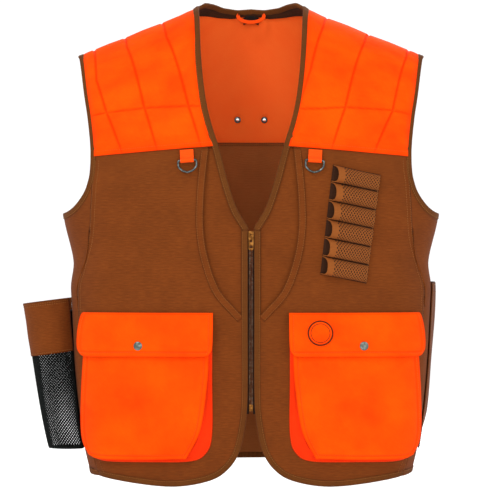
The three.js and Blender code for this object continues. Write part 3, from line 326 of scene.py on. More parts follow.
def level_seam(p: Array, q: Array) -> Edge:
    """A seam between two pattern points that looks straight from the front."""
    low = float(FORM.point(np.array(p[0]), np.array(p[1]))[2])
    high = float(FORM.point(np.array(q[0]), np.array(q[1]))[2])

    def edge(t: Array) -> Array:
        """Points of the seam."""
        t = np.asarray(t, float)
        x = p[0] + (q[0] - p[0]) * t
        return np.stack([x, FORM.pattern_height(x, low + (high - low) * t)], -1)

    return edge


def crossing(value: Callable[[float], float], low: float = 0.0, high: float = 1.0) -> float:
    """Parameter between two bounds where a rising quantity reaches zero."""
    for _ in range(40):
        middle = (low + high) / 2
        if value(middle) < 0:
            low = middle
        else:
            high = middle
    return (low + high) / 2


def one(edge: Edge, t: float) -> Array:
    """One point of an edge."""
    return edge(np.array([t]))[0]


def patch(bottom: Edge, top: Edge, left: Edge, right: Edge) -> Callable[[Array, Array], Array]:
    """Blended patch between four edges: bottom and top run with u, left and right with v."""

    def outline(u: Array, v: Array) -> Array:
        """Pattern points of the patch."""
        u1, v1 = u[..., None], v[..., None]
        across = bottom(u) * (1 - v1) + top(u) * v1
        along = left(v) * (1 - u1) + right(v) * u1
        corners = one(bottom, 0) * (1 - u1) * (1 - v1) + one(bottom, 1) * u1 * (1 - v1)
        return across + along - corners - one(top, 0) * (1 - u1) * v1 - one(top, 1) * u1 * v1

    return outline


def below_ridge(edge: Edge) -> Edge:
    """The edge, cut off where it passes the shoulder ridge."""
    return lambda t: np.minimum(edge(t), np.array([1e9, RIDGE]))


def eased_rows(outline: Callable, power: float) -> Callable:
    """The outline with its rows closer together towards the top."""
    return lambda u, v: outline(u, 1 - (1 - v) ** power)


# ------------------------------------------------------------------------------------ seams


@dataclass(frozen=True)
class Cut:
    """Cloth thicknesses, layers and allowances."""

    canvas: float = 1.6
    outer: float = 2.2
    face: float = 3.8
    trim: float = 4.4
    binding: float = 9.5
    tuck: float = 7.0
    zip_edge: float = 4.6


CUT = Cut()

NECK = Seam([
    on_front(4.6, 380), on_front(4.7, 385), on_front(11, 395), on_front(22, 415), on_front(36, 458),
    on_front(48, 505), on_front(60, 545), on_front(68, 585), on_front(73.5, 640), on_front(76, 690),
    pt(77, RIDGE), past_ridge(66, 727), past_ridge(57, 728), past_ridge(42, 725.5), past_ridge(30, 724.5),
    past_ridge(18, 723.6), past_ridge(8, 723.1), past_ridge(0, 723), past_ridge(8, 723.1) * np.array([-1, 1]),
    past_ridge(18, 723.6) * np.array([-1, 1]),
])
NECK_RIDGE = crossing(lambda t: NECK.at(np.array([t]))[0, 1] - RIDGE)
NECK_MIDDLE = crossing(lambda t: -NECK.at(np.array([t]))[0, 0], NECK_RIDGE)


def neck_at(h: float, distance: float = CUT.tuck) -> float:
    """Share of the neck seam where its cloth edge reaches a pattern height."""
    return crossing(lambda t: one(NECK.inset(distance), t)[1] - h, 0, NECK_RIDGE)


FRONT_EDGE = Seam([
    pt(CUT.zip_edge, 379.7), pt(CUT.zip_edge, 250), pt(CUT.zip_edge, 140),
    *[on_front(x, z) for x, z in ((8, 92), (18, 50), (36, 24), (62, 9), (113, 0), (170, 4), (224, 13))],
])
FRONT_CLOTH = FRONT_EDGE.inset(-CUT.tuck)
HEM_CORNER = crossing(lambda t: one(FRONT_CLOTH, t)[0] - 36)
POCKET_EDGE_START = crossing(lambda t: 252 - one(FRONT_CLOTH, t)[1])

SIDE_SEAM = through(((13, 224), (60, 236), (150, 247), (291, 258), (320, 252), (369, 241), (420, 237),
                     (470, 234)))
MEAN_RADIUS = 145.0


def angle_of(x: Array, h: Array) -> Array:
    """Angle round the body of a point x from the middle."""
    return np.arcsin(np.minimum(1, x / FORM.half_width(h)) ** (FORM.squareness / 2))


def on_arc(p: Array) -> Array:
    """Pattern point (x, h) as (arc, h)."""
    return pt(float(angle_of(np.array(p[0]), np.array(p[1]))) * MEAN_RADIUS, p[1])


ARMHOLE = Seam([on_arc(p) for p in (
    pt(261, RIDGE), on_front(252, 600), on_front(243, 545), on_front(238.5, 490), pt(243, 450), pt(258, 422),
    pt(273, 409.5), pt(float(FORM.half_width(np.array(407.0))), 407))])


def arm_edge(start: float, end: float, distance: float = CUT.tuck) -> Edge:
    """Cloth edge at the armhole in (x, h)."""
    walk = ARMHOLE.inset(distance, start, end)

    def edge(t: Array) -> Array:
        """Points of the edge."""
        p = walk(t)
        power = np.abs(np.sin(p[..., 0] / MEAN_RADIUS)) ** (2 / FORM.squareness)
        return np.stack([FORM.half_width(np.minimum(p[..., 1], FORM.chest_line)) * power, p[..., 1]], -1)

    return edge


ARM_CLOTH = arm_edge(0, 1)
SEAM_TOP = crossing(lambda t: one(ARM_CLOTH, t)[0] - float(SIDE_SEAM(one(ARM_CLOTH, t)[1])), 0.5)
PAD_LINE = crossing(lambda t: on_front(236, 489)[1] - one(ARM_CLOTH, t)[1])
YOKE_LINE = crossing(lambda t: on_front(236, 519)[1] - one(ARM_CLOTH, t)[1])
SEAM_FOOT = 13 + CUT.tuck
SEAM_HEAD = float(one(ARM_CLOTH, SEAM_TOP)[1])
HAND_POCKET = Seam([
    one(FRONT_CLOTH, POCKET_EDGE_START),
    *[on_front(x, z) for x, z in ((22, 263), (47, 293), (63, 338), (70, 382), (69.5, 429), (66, 470),
                                  (62.5, 501))],
])
PAD_CORNER = on_front(61, 503.5)


HEM_START = float(angle_of(SIDE_SEAM(np.array(13.0)), np.array(13.0)))


def hem_height(angle: Array) -> Array:
    """Lowest edge round the sides and back, level with the fronts where it meets them."""
    t = np.clip((np.minimum(angle, 2 * math.pi - angle) - HEM_START) / 1.2, 0, 1)
    return 13 + 11 * t * t * (3 - 2 * t)


def seam_run(low: float, high: float) -> Edge:
    """A run of the side seam."""

    def edge(t: Array) -> Array:
        """Points of the seam."""
        z = low + (high - low) * np.asarray(t, float)
        return np.stack([SIDE_SEAM(z), z], -1)

    return edge


# ------------------------------------------------------------------------------------ materials


def linear(code: str) -> tuple:
    """Linear colour of an sRGB hex value."""
    channels = [int(code[i : i + 2], 16) / 255 for i in (1, 3, 5)]
    return (*[c / 12.92 if c <= 0.04045 else ((c + 0.055) / 1.055) ** 2.4 for c in channels], 1.0)


def add(tree: bpy.types.NodeTree, kind: str, inputs: Optional[dict] = None,
        **settings: object) -> bpy.types.Node:
    """Adds a node with its settings and links.

    Args:
        tree: the node tree.
        kind: the node's type.
        inputs: socket name or index to a value or to an output socket.
        settings: attributes of the node.
    Returns:
        The node.
    """
    node = tree.nodes.new(kind)
    for name, value in settings.items():
        setattr(node, name, value)
    for key, value in (inputs or {}).items():
        if isinstance(value, bpy.types.NodeSocket):
            tree.links.new(value, node.inputs[key])
        else:
            node.inputs[key].default_value = value
    return node


def new_tree(name: str) -> tuple:
    """A new material's tree, emptied, with its output node."""
    made = bpy.data.materials.new(name)
    made.use_nodes = True
    made.node_tree.nodes.clear()
    return made, made.node_tree, add(made.node_tree, "ShaderNodeOutputMaterial")


@dataclass(frozen=True)
class WovenCloth:
    """A woven cloth: threads across, slubs, blotches of uneven dye that on the orange twill also stand for
    painted shade, painted shade along seams and edges, and a soft sheen.
    """

    name: str
    colour: str
    shade: str
    light: str
    thread_mm: float = 2.0
    thread_depth: float = 0.35
    slant: float = 0.0
    slub: float = 0.35
    roughness: float = 0.9
    sheen: float = 0.02
    sheen_tint: str = "#ffffff"
    bump: float = 0.25
    blotch_mm: float = 60.0
    blotch: float = 0.3
    specular: float = 0.12

    def make(self) -> bpy.types.Material:
        """Builds the material."""
        made, t, out = new_tree(self.name)
        uv = add(t, "ShaderNodeUVMap", uv_map="pattern").outputs[0]
        turned = add(t, "ShaderNodeMapping", {"Vector": uv, "Rotation": (0, 0, self.slant)}).outputs[0]
        scale = 0.314 / (self.thread_mm * MM)
        weft = add(t, "ShaderNodeTexWave", {"Vector": turned, "Scale": scale, "Distortion": 1.2,
                                            "Detail": 1.0, "Detail Scale": 0.4},
                   bands_direction="Y").outputs[1]
        warp = add(t, "ShaderNodeTexWave", {"Vector": turned, "Scale": scale * 1.35, "Distortion": 0.8,
                                            "Detail": 1.0, "Detail Scale": 0.4},
                   bands_direction="X").outputs[1]
        streak_map = add(t, "ShaderNodeMapping", {"Vector": turned, "Scale": (90, 900, 1)}).outputs[0]
        streak = add(t, "ShaderNodeTexNoise", {"Vector": streak_map, "Scale": 1.0, "Detail": 3.0}).outputs[0]
        blotch = add(t, "ShaderNodeTexNoise", {"Vector": uv, "Scale": 1 / (self.blotch_mm * MM),
                                               "Detail": 4.0, "Roughness": 0.6}).outputs[0]
        fibre = add(t, "ShaderNodeTexNoise", {"Vector": uv, "Scale": 1400.0, "Detail": 2.0}).outputs[0]
        threads = add(t, "ShaderNodeMath", {0: weft, 1: 0.65}, operation="MULTIPLY").outputs[0]
        weave = add(t, "ShaderNodeMath", {0: warp, 1: 0.35, 2: threads}, operation="MULTIPLY_ADD").outputs[0]
        ramp = add(t, "ShaderNodeMapRange",
                   {0: weave, 1: 0.0, 2: 1.0, 3: 0.0, 4: self.thread_depth}).outputs[0]
        dark = add(t, "ShaderNodeMix", {0: ramp, 6: linear(self.colour), 7: linear(self.shade)},
                   data_type="RGBA").outputs[2]
        slubs = add(t, "ShaderNodeMapRange", {0: streak, 1: 0.42, 2: 0.72, 3: 0.0, 4: self.slub}).outputs[0]
        slubbed = add(t, "ShaderNodeMix", {0: slubs, 6: dark, 7: linear(self.light)},
                      data_type="RGBA").outputs[2]
        # Broad blotches towards the shade colour: uneven dye, and on the orange twill, with its blotch
        # raised, also painted shade standing for crease shading.
        patchy = add(t, "ShaderNodeMapRange", {0: blotch, 1: 0.35, 2: 0.7, 3: 0.0, 4: self.blotch}).outputs[0]
        blotched = add(t, "ShaderNodeMix", {0: patchy, 6: slubbed, 7: linear(self.shade)},
                   data_type="RGBA").outputs[2]
        # Painted shade: the seam attribute pulls the colour towards the shade colour along edges, stitch
        # lines and quilt grooves.
        near = add(t, "ShaderNodeAttribute", attribute_name="seam").outputs[2]
        worn = add(t, "ShaderNodeMath", {0: near, 1: 0.45}, operation="MULTIPLY").outputs[0]
        colour = add(t, "ShaderNodeMix", {0: worn, 6: blotched, 7: linear(self.shade)},
                     data_type="RGBA").outputs[2]
        relief = add(t, "ShaderNodeMath", {0: fibre, 1: 0.5, 2: weave}, operation="MULTIPLY_ADD").outputs[0]
        bump = add(t, "ShaderNodeBump", {"Height": relief, "Strength": self.bump,
                                         "Distance": 0.0005}).outputs[0]
        rough = add(t, "ShaderNodeMapRange",
                    {0: fibre, 3: self.roughness - 0.08, 4: self.roughness + 0.06}).outputs[0]
        shader = add(t, "ShaderNodeBsdfPrincipled", {
            "Base Color": colour, "Roughness": rough, "Normal": bump, "IOR": 1.46,
            "Specular IOR Level": self.specular, "Sheen Weight": self.sheen, "Sheen Roughness": 0.5,
            "Sheen Tint": linear(self.sheen_tint)})
        t.links.new(shader.outputs[0], out.inputs[0])
        return made


@dataclass(frozen=True)
class PlatedMetal:
    """A plated or darkened metal: soft reflections with fine scuffs and worn high spots."""

    name: str
    colour: str
    worn: str
    roughness: float
    grain_mm: float = 0.4

    def make(self) -> bpy.types.Material:
        """Builds the material."""
        made, t, out = new_tree(self.name)
        place = add(t, "ShaderNodeTexCoord").outputs["Object"]
        grain = add(t, "ShaderNodeTexNoise", {"Vector": place, "Scale": 1 / (self.grain_mm * MM),
                                              "Detail": 4.0}).outputs[0]
        rubbed = add(t, "ShaderNodeTexNoise", {"Vector": place, "Scale": 240.0, "Detail": 3.0}).outputs[0]
        share = add(t, "ShaderNodeMapRange", {0: rubbed, 1: 0.45, 2: 0.7}).outputs[0]
        colour = add(t, "ShaderNodeMix", {0: share, 6: linear(self.colour), 7: linear(self.worn)},
                     data_type="RGBA").outputs[2]
        rough = add(t, "ShaderNodeMapRange",
                    {0: grain, 3: self.roughness - 0.1, 4: self.roughness + 0.12}).outputs[0]
        bump = add(t, "ShaderNodeBump", {"Height": grain, "Strength": 0.15, "Distance": 0.0001}).outputs[0]
        shader = add(t, "ShaderNodeBsdfPrincipled", {
            "Base Color": colour, "Metallic": 1.0, "Roughness": rough, "Normal": bump})
        t.links.new(shader.outputs[0], out.inputs[0])
        return made


@dataclass(frozen=True)
class KnittedElastic:
    """Ribbed elastic with rows of small knit holes painted near black as painted shade, smooth at its hem."""

    name: str = "knitted_elastic"
    colour: str = "#92501c"
    shade: str = "#5c2e0e"
    hole_mm: float = 3.4
    hem_mm: float = 11.0

    def make(self) -> bpy.types.Material:
        """Builds the material."""
        made, t, out = new_tree(self.name)
        uv = add(t, "ShaderNodeUVMap", uv_map="pattern").outputs[0]
        cells = add(t, "ShaderNodeMapping", {"Vector": uv, "Scale": (1 / (self.hole_mm * MM),) * 3,
                                             "Rotation": (0, 0, math.radians(45))}).outputs[0]
        dots = add(t, "ShaderNodeTexVoronoi", {"Vector": cells, "Scale": 1.0, "Randomness": 0.1},
                   voronoi_dimensions="2D").outputs[0]
        hole = add(t, "ShaderNodeMapRange", {0: dots, 1: 0.26, 2: 0.4, 3: 1.0, 4: 0.0}).outputs[0]
        split = add(t, "ShaderNodeSeparateXYZ", {0: uv}).outputs[0]
        open_part = add(t, "ShaderNodeMath", {0: split, 1: self.hem_mm * MM},
                        operation="GREATER_THAN").outputs[0]
        mask = add(t, "ShaderNodeMath", {0: hole, 1: open_part}, operation="MULTIPLY").outputs[0]
        ribs = add(t, "ShaderNodeTexWave", {"Vector": uv, "Scale": 0.314 / (1.5 * MM), "Distortion": 0.8},
                   bands_direction="Y").outputs[1]
        tint = add(t, "ShaderNodeMapRange", {0: ribs, 3: 0.0, 4: 0.3}).outputs[0]
        base = add(t, "ShaderNodeMix", {0: tint, 6: linear(self.colour), 7: linear(self.shade)},
                   data_type="RGBA").outputs[2]
        # The knit holes are painted near black: painted shade inside each hole, not real openings.
        colour = add(t, "ShaderNodeMix", {0: mask, 6: base, 7: linear("#160b06")},
                     data_type="RGBA").outputs[2]
        height = add(t, "ShaderNodeMath", {0: ribs, 1: mask}, operation="SUBTRACT").outputs[0]
        bump = add(t, "ShaderNodeBump", {"Height": height, "Strength": 0.5, "Distance": 0.0006}).outputs[0]
        shader = add(t, "ShaderNodeBsdfPrincipled", {
            "Base Color": colour, "Roughness": 0.85, "Normal": bump, "Specular IOR Level": 0.2})
        t.links.new(shader.outputs[0], out.inputs[0])
        return made


class Finish(Enum):
    """Every finish of the vest, with what it gives the eye."""

    CANVAS = WovenCloth("cotton_duck_canvas", "#763910", "#4a2106", "#8f4a16", 2.2, 0.5, 0, 0.4)
    BINDING = WovenCloth("folded_canvas_tape", "#6b3a12", "#40200a", "#82501e", 1.6, 0.45, 0, 0.2, bump=0.3)
    LINING = WovenCloth("oiled_lining_canvas", "#9c5728", "#6e3a18", "#b06a38", 2.2, 0.4, 0, 0.2, 0.85)
    BAG = WovenCloth("waxed_bag_canvas", "#70390f", "#452009", "#864718", 2.2, 0.45, 0, 0.3, 0.8)
    # Dark brown facing; on the shell holder's backing this dark stands for painted shade inside the elastic
    # loops.
    FACING = WovenCloth("dark_facing_cloth", "#3f2210", "#201008", "#532f16", 1.6, 0.4, 0, 0.2, 0.8)
    # Its blotch of 0.6 gives broad deeper-red patches, partly uneven dye and partly painted shade of creases.
    BLAZE = WovenCloth("blaze_dyed_twill", "#ff5300", "#f02c00", "#ff6800", 1.7, 0.3, 0.8, 0.18, 0.75, 0.0,
                       "#ffb27a", 0.15, 75.0, 0.6, 0.05)
    # A lighter copy of the orange twill for the yoke's inner face: painted light, brightening cloth that lies
    # in shade.
    BLAZE_INSIDE = WovenCloth("blaze_dyed_twill_inside", "#ff6c26", "#f85010", "#ff8038", 1.7, 0.3, 0.8, 0.18,
                              0.8, 0.0, "#ffb27a", 0.12)
    # A darker, redder copy of the orange twill for the bellows gussets: painted shade of the folded sides.
    BLAZE_FOLD = WovenCloth("blaze_dyed_twill_fold", "#fb3400", "#c81a00", "#ff4400", 1.7, 0.3, 0.8, 0.18,
                            0.8, 0.0, "#ffb27a", 0.12)
    WEBBING = WovenCloth("blaze_webbing", "#ff5200", "#e23300", "#ff7226", 1.4, 0.4, 0, 0.1, 0.7)
    MESH = WovenCloth("polyester_netting", "#0e1211", "#040606", "#1c2322", 1.0, 0.3, 0, 0.2, 0.6)
    LABEL = WovenCloth("woven_satin_label", "#231b17", "#120d0b", "#3a302a", 1.0, 0.3, 0, 0.1, 0.6)
    ZIP_TAPE = WovenCloth("zip_tape_twill", "#1c1410", "#0c0807", "#2c211a", 1.0, 0.4, 0.5, 0.2, 0.75)
    BROWN_THREAD = WovenCloth("brown_sewing_thread", "#a4672f", "#5f3410", "#b87a3f", 0.6, 0.4, 0.6, 0.2, 0.6)
    ORANGE_THREAD = WovenCloth("orange_sewing_thread", "#ff5d12", "#c93a00", "#ff7b3a", 0.6, 0.4, 0.6, 0.2,
                               0.6)
    PATCH_THREAD = WovenCloth("dark_merrowed_thread", "#4a1d08", "#2a0f04", "#6b2c0e", 0.8, 0.4, 0.6, 0.2,
                              0.7)
    ELASTIC = KnittedElastic()
    GUNMETAL = PlatedMetal("gunmetal_plate", "#4b5252", "#85908f", 0.36)
    SNAP = PlatedMetal("nickel_snap", "#5f6660", "#949d97", 0.34)
    BRASS = PlatedMetal("antique_brass", "#6b421c", "#a06c34", 0.42)
    ZIP_TEETH = PlatedMetal("blackened_zip_teeth", "#3d332b", "#77695a", 0.4)


MADE: dict = {}


def finish_of(choice: Finish) -> bpy.types.Material:
    """The finish's material, made once."""
    if choice not in MADE:
        MADE[choice] = choice.value.make()
    return MADE[choice]


# ------------------------------------------------------------------------------------ making


def place(points: Array) -> Array:
    """Drafting millimetres to the row frame in metres."""
    return (points - HANG_POINT) * MM


def link(name: str, mesh: bpy.types.Mesh, finish: Finish, smooth: bool = True) -> bpy.types.Object:
    """Makes an object of a mesh and dresses it."""
    made = bpy.data.objects.new(name, mesh)
    bpy.context.scene.collection.objects.link(made)
    mesh.materials.clear()
    mesh.materials.append(finish_of(finish))
    mesh.polygons.foreach_set("use_smooth", [smooth] * len(mesh.polygons))
    return made


def mount(made: bpy.types.Object, body: str, slot: str, *nodes: str) -> bpy.types.Object:
    """Lets a piece ride on its body and stand for its nodes."""
    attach(made, body)
    if nodes:
        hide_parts(*nodes)
    LOG.info("piece %s rides on %s", made.name, body)
    return made


def grid_mesh(name: str, nu: int, nv: int, surface: Callable[[Array, Array], Array],
              pattern: Optional[Callable[[Array, Array], Array]] = None, seam: Optional[Array] = None,
              weld: bool = False) -> bpy.types.Mesh:
    """A fine grid moved onto a surface, with its pattern coordinates as its UV map.

    Args:
        name: the mesh's name.
        nu: cells along u.
        nv: cells along v.
        surface: drafting point of each (u, v).
        pattern: flat pattern place in millimetres of each (u, v).
        seam: closeness to a seam of each vertex, 0 to 1, which the cloth finishes turn into painted shade.
        weld: joins edges that meet.
    Returns:
        The mesh, in the row frame.
    """
    shape = bmesh.new()
    bmesh.ops.create_grid(shape, x_segments=nu, y_segments=nv, size=0.5)
    mesh = bpy.data.meshes.new(name)
    shape.to_mesh(mesh)
    shape.free()
    count = len(mesh.vertices)
    co = np.zeros(count * 3)
    mesh.vertices.foreach_get("co", co)
    u, v = co.reshape(-1, 3)[:, 0] + 0.5, co.reshape(-1, 3)[:, 1] + 0.5
    mesh.vertices.foreach_set("co", place(surface(u, v)).astype(np.float32).ravel())
    flat = pattern(u, v) if pattern else np.stack([u * 100, v * 100], -1)
    corners = np.zeros(len(mesh.loops), int)
    mesh.loops.foreach_get("vertex_index", corners)
    layer = mesh.uv_layers.new(name="pattern")
    layer.data.foreach_set("uv", (flat[corners] * MM).astype(np.float32).ravel())
    # Closeness to seams, which the cloth finishes darken as painted shade.
    store = mesh.attributes.new("seam", "FLOAT", "POINT")
    closeness = seam(u, v) if callable(seam) else np.zeros(count)
    store.data.foreach_set("value", closeness.astype(np.float32))
    if weld:
        shape = bmesh.new()
        shape.from_mesh(mesh)
        bmesh.ops.remove_doubles(shape, verts=shape.verts, dist=1e-6)
        shape.to_mesh(mesh)
        shape.free()
    mesh.update()
    return mesh


def outward(mesh: bpy.types.Mesh) -> None:
    """Turns a closed mesh's faces outward."""
    shape = bmesh.new()
    shape.from_mesh(mesh)
    bmesh.ops.recalc_face_normals(shape, faces=shape.faces)
    shape.to_mesh(mesh)
    shape.free()


def thicken(made: bpy.types.Object, thickness: float, offset: float = -1.0) -> None:
    """Gives a sheet its thickness in millimetres."""
    solid = made.modifiers.new("thickness", "SOLIDIFY")
    solid.thickness = thickness * MM
    solid.offset = offset


@dataclass
class Sheet:
    """One cut of cloth drafted on a form: its outline, the form it lies on and its stand-off."""

    name: str
    outline: Callable[[Array, Array], Array]
    lift: Lift
    stand: Callable[[Array, Array, Array, Array], Array]
    nu: int = 40
    nv: int = 60
    side: float = 1.0
    thickness: float = 1.4
    seam_depth: float = 5.0
    arc: bool = False
    sewn: tuple = ()
    size: tuple = field(default=(0.0, 0.0, 0.0))

    def points(self, u: Array, v: Array, extra: float = 0.0) -> Array:
        """Drafting points of the outer face."""
        p = self.outline(u, v)
        out = self.lift(p[..., 0], p[..., 1], self.stand(p[..., 0], p[..., 1], u, v) + extra)
        return out * np.array([self.side, 1, 1])

    def measure(self) -> None:
        """Finds the flat width, length and area of the cut, in metres."""
        u, v = np.meshgrid(np.linspace(0, 1, 33), np.linspace(0, 1, 33), indexing="ij")
        p = self.points(u, v) * MM
        across = np.linalg.norm(np.diff(p, axis=0), axis=-1)
        along = np.linalg.norm(np.diff(p, axis=1), axis=-1)
        a = p[1:, :-1] - p[:-1, :-1]
        b = p[:-1, 1:] - p[:-1, :-1]
        area = float(np.linalg.norm(np.cross(a, b), axis=-1).sum())
        width, length = float(across.sum(0).max()), float(along.sum(1).max())
        share = min(1.0, max(0.31, area / (width * length)))
        self.size = (width, length, share * width * length)

    def build(self, finish: Finish, body: str, slot: str, nodes: Sequence[str],
              held: Held = Held.HUNG, rests_on: Sequence[str] = ("hanger_loop",)) -> bpy.types.Object:
        self.measure()
        width, length, _ = self.size

        def pattern(u: Array, v: Array) -> Array:
            """Flat pattern place."""
            p = self.outline(u, v)
            x = p[..., 0] * (MEAN_RADIUS if self.arc else 1)
            return np.stack([x * self.side, p[..., 1]], -1)

        def near(u: Array, v: Array) -> Array:
            """Closeness to the cut's edges and stitch lines, for the painted shade there."""
            gap = np.minimum(np.minimum(u, 1 - u) * width, np.minimum(v, 1 - v) * length) / MM
            shadow = np.exp(-gap / self.seam_depth)
            for inset in self.sewn:
                shadow = np.maximum(shadow, 1.3 * np.exp(-(((gap - inset) / 0.9) ** 2)))
            return shadow

        mesh = grid_mesh(self.name, self.nu, self.nv, self.points, pattern, near)
        ref = (self.points(np.array([0.5]), np.array([0.5]),
                           1.0) - self.points(np.array([0.5]), np.array([0.5])))[0]
        middle = mesh.polygons[len(mesh.polygons) // 2 + self.nu // 2]
        if np.dot(np.array(middle.normal), ref) < 0:
            mesh.flip_normals()
        made = link(f"{self.name}_cloth", mesh, finish)
        thicken(made, self.thickness)
        mount(made, body, slot, *nodes)
        LOG.info("sheet %s flat %.0f x %.0f mm", self.name, width / MM, length / MM)
        return made

    def row(self, edge: str, inset: float, start: float = 0.0, end: float = 1.0, lift: float = 0.15) -> tuple:
        """A stitch line a set distance in from an edge.

        Args:
            edge: left, right, bottom or top of the cut.
            inset: distance from the edge in millimetres.
            start: share of the edge where it starts.
            end: share of the edge where it ends.
            lift: height of the thread above the cloth.
        Returns:
            The line's points and the outward direction at each.
        """
        t = np.linspace(start, end, 400)
        step = 0.02
        zero = np.zeros_like(t)
        if edge in ("left", "right"):
            base = zero if edge == "left" else zero + 1
            other = base + (step if edge == "left" else -step)
            wide = np.linalg.norm(self.points(other, t) - self.points(base, t), axis=-1) / step
            u, v = np.abs(base - inset / np.maximum(wide, 1)), t
        else:
            base = zero if edge == "bottom" else zero + 1
            other = base + (step if edge == "bottom" else -step)
            wide = np.linalg.norm(self.points(t, other) - self.points(t, base), axis=-1) / step
            u, v = t, np.abs(base - inset / np.maximum(wide, 1))
        face = self.points(u, v, lift)
        return face, self.points(u, v, lift + 1) - face


@dataclass(frozen=True)
class Stitching:
    """Lockstitch thread: short raised stitches along sewn lines."""

    pitch: float = 3.6
    length: float = 2.9
    width: float = 0.75

    def sew(self, name: str, lines: Sequence[tuple], finish: Finish, body: str,
            slot: str) -> bpy.types.Object:
        """Makes one piece of all the stitches of some lines.

        Args:
            name: the piece's name.
            lines: each a line's points and outward directions.
            finish: the thread.
            body: the body that it rides on.
            slot: the record slot; not used.
        Returns:
            The piece.
        """
        shape = bmesh.new()
        bmesh.ops.create_uvsphere(shape, u_segments=6, v_segments=3, radius=0.5)
        single = bpy.data.meshes.new(name)
        shape.to_mesh(single)
        shape.free()
        corners = np.array([v.co for v in single.vertices]) * np.array([self.length, self.width,
                                                                        self.width * 0.7])
        faces = [list(f.vertices) for f in single.polygons]
        bpy.data.meshes.remove(single)
        spots = []
        for points, normals in lines:
            run = np.concatenate([[0], np.cumsum(np.linalg.norm(np.diff(points, axis=0), axis=1))])
            s = np.arange(self.pitch, run[-1] - self.pitch / 2, self.pitch)[:, None]
            at, ahead, up = (np.hstack([np.interp(d, run, line[:, k]) for k in range(3)])
                             for d, line in ((s, points), (s + 0.5, points), (s, normals)))
            along = (ahead - at) / np.linalg.norm(ahead - at, axis=1, keepdims=True)
            side = np.cross(up, along)
            side /= np.linalg.norm(side, axis=1, keepdims=True)
            turn = np.stack([along, side, np.cross(along, side)], 1)
            spots.append(np.einsum("ij,njk->nik", corners, turn) + at[:, None, :])
        verts = place(np.vstack(spots))
        count = len(corners)
        mesh = bpy.data.meshes.new(name)
        mesh.from_pydata(verts.reshape(-1, 3).tolist(), [],
                         [[i + k * count for i in f] for k in range(len(verts)) for f in faces])
        mesh.uv_layers.new(name="pattern")
        return mount(link(name, mesh, finish), body, slot)


STITCH = Stitching()


def sweep_tape(name: str, path: Callable[[Array], tuple], nu: int, wide: float, thick: float, closed: bool,
               finish: Finish) -> bpy.types.Object:
    """A folded tape: a soft flattened section carried along a path.

    Args:
        name: the piece's name.
        path: gives the middle, across and up directions at shares of the path.
        nu: steps along the path.
        wide: width of the tape in millimetres.
        thick: thickness of the fold in millimetres.
        closed: whether the path closes on itself.
        finish: its finish.
    Returns:
        The piece.
    """
    run = path(np.linspace(0, 1, 400))[0]
    LOG.info("%s: %.0f x %.1f mm, %.1f mm thick", name, np.linalg.norm(np.diff(run, axis=0), axis=1).sum(),
             wide, thick)

    def surface(u: Array, v: Array) -> Array:
        """Points of the tape."""
        middle, across, up = path(u)
        angle = 2 * math.pi * v
        c, s = np.cos(angle), np.sin(angle)
        flat = np.sign(c) * np.abs(c) ** 0.45
        round_ = np.sign(s) * np.abs(s) ** 0.6
        pucker = 1 + 0.05 * np.sin(2 * math.pi * u * nu / 5.0)
        groove = 1 - 0.2 * np.exp(-((flat - 0.62) / 0.12) ** 2)
        return middle + across * (flat * wide / 2)[:, None] + up * (round_ * thick / 2 * pucker
                                                                    * groove)[:, None]

    def pattern(u: Array, v: Array) -> Array:
        """Flat place along and round the tape."""
        middle, _, _ = path(np.linspace(0, 1, 60))
        length = np.linalg.norm(np.diff(middle, axis=0), axis=1).sum()
        return np.stack([v * 2 * wide, u * length], -1)

    mesh = grid_mesh(name, nu, 14, surface, pattern, lambda u, v: 0.25 + 0 * u, weld=True)
    if not closed:
        shape = bmesh.new()
        shape.from_mesh(mesh)
        bmesh.ops.holes_fill(shape, edges=[e for e in shape.edges if e.is_boundary], sides=0)
        shape.to_mesh(mesh)
        shape.free()
    outward(mesh)
    return link(name, mesh, finish)


def seam_path(edge: Edge, lift: Lift, inward: Edge, low: float, high: float, side: float = 1.0) -> Callable:
    """Path of a binding whose outer line is one edge and whose inner line is another."""
    def path(t: Array) -> tuple:
        """Middle, across and up directions."""
        a, b = edge(t), inward(t)
        pa = lift(a[..., 0], a[..., 1], np.full(len(t), (low + high) / 2))
        pb = lift(b[..., 0], b[..., 1], np.full(len(t), (low + high) / 2))
        middle_ab = (a + b) / 2
        up = lift(middle_ab[..., 0], middle_ab[..., 1], np.full(len(t), high)) - lift(
            middle_ab[..., 0], middle_ab[..., 1], np.full(len(t), low))
        flip_side = np.array([side, 1, 1])
        across = (pb - pa) * flip_side
        across /= np.linalg.norm(across, axis=-1, keepdims=True)
        up = up * flip_side
        up /= np.linalg.norm(up, axis=-1, keepdims=True)
        return (pa + pb) / 2 * flip_side, across, up

    return path


def copy_of(node: str, name: str, finish: Finish, bevel: float = 0.3,
            smooth: bool = True) -> bpy.types.Object:
    """A copy of a CAD node with its shared points merged and its edges softened."""
    shape = bmesh.new()
    shape.from_mesh(frame["nodes"][node].data)
    bmesh.ops.remove_doubles(shape, verts=shape.verts, dist=1e-6)
    bmesh.ops.dissolve_limit(shape, angle_limit=math.radians(1.5), verts=shape.verts, edges=shape.edges)
    mesh = bpy.data.meshes.new(name)
    shape.to_mesh(mesh)
    shape.free()
    while mesh.uv_layers:
        mesh.uv_layers.remove(mesh.uv_layers[0])
    mesh.uv_layers.new(name="pattern")
    made = link(name, mesh, finish, smooth)
    if bevel:
        edge = made.modifiers.new("soft_edges", "BEVEL")
        edge.width = bevel * MM
        edge.segments = 2
        edge.limit_method = "ANGLE"
        edge.angle_limit = math.radians(35)
        edge.harden_normals = False
    weight = made.modifiers.new("shading", "WEIGHTED_NORMAL")
    weight.keep_sharp = True
    flat_pattern(mesh)
    return made


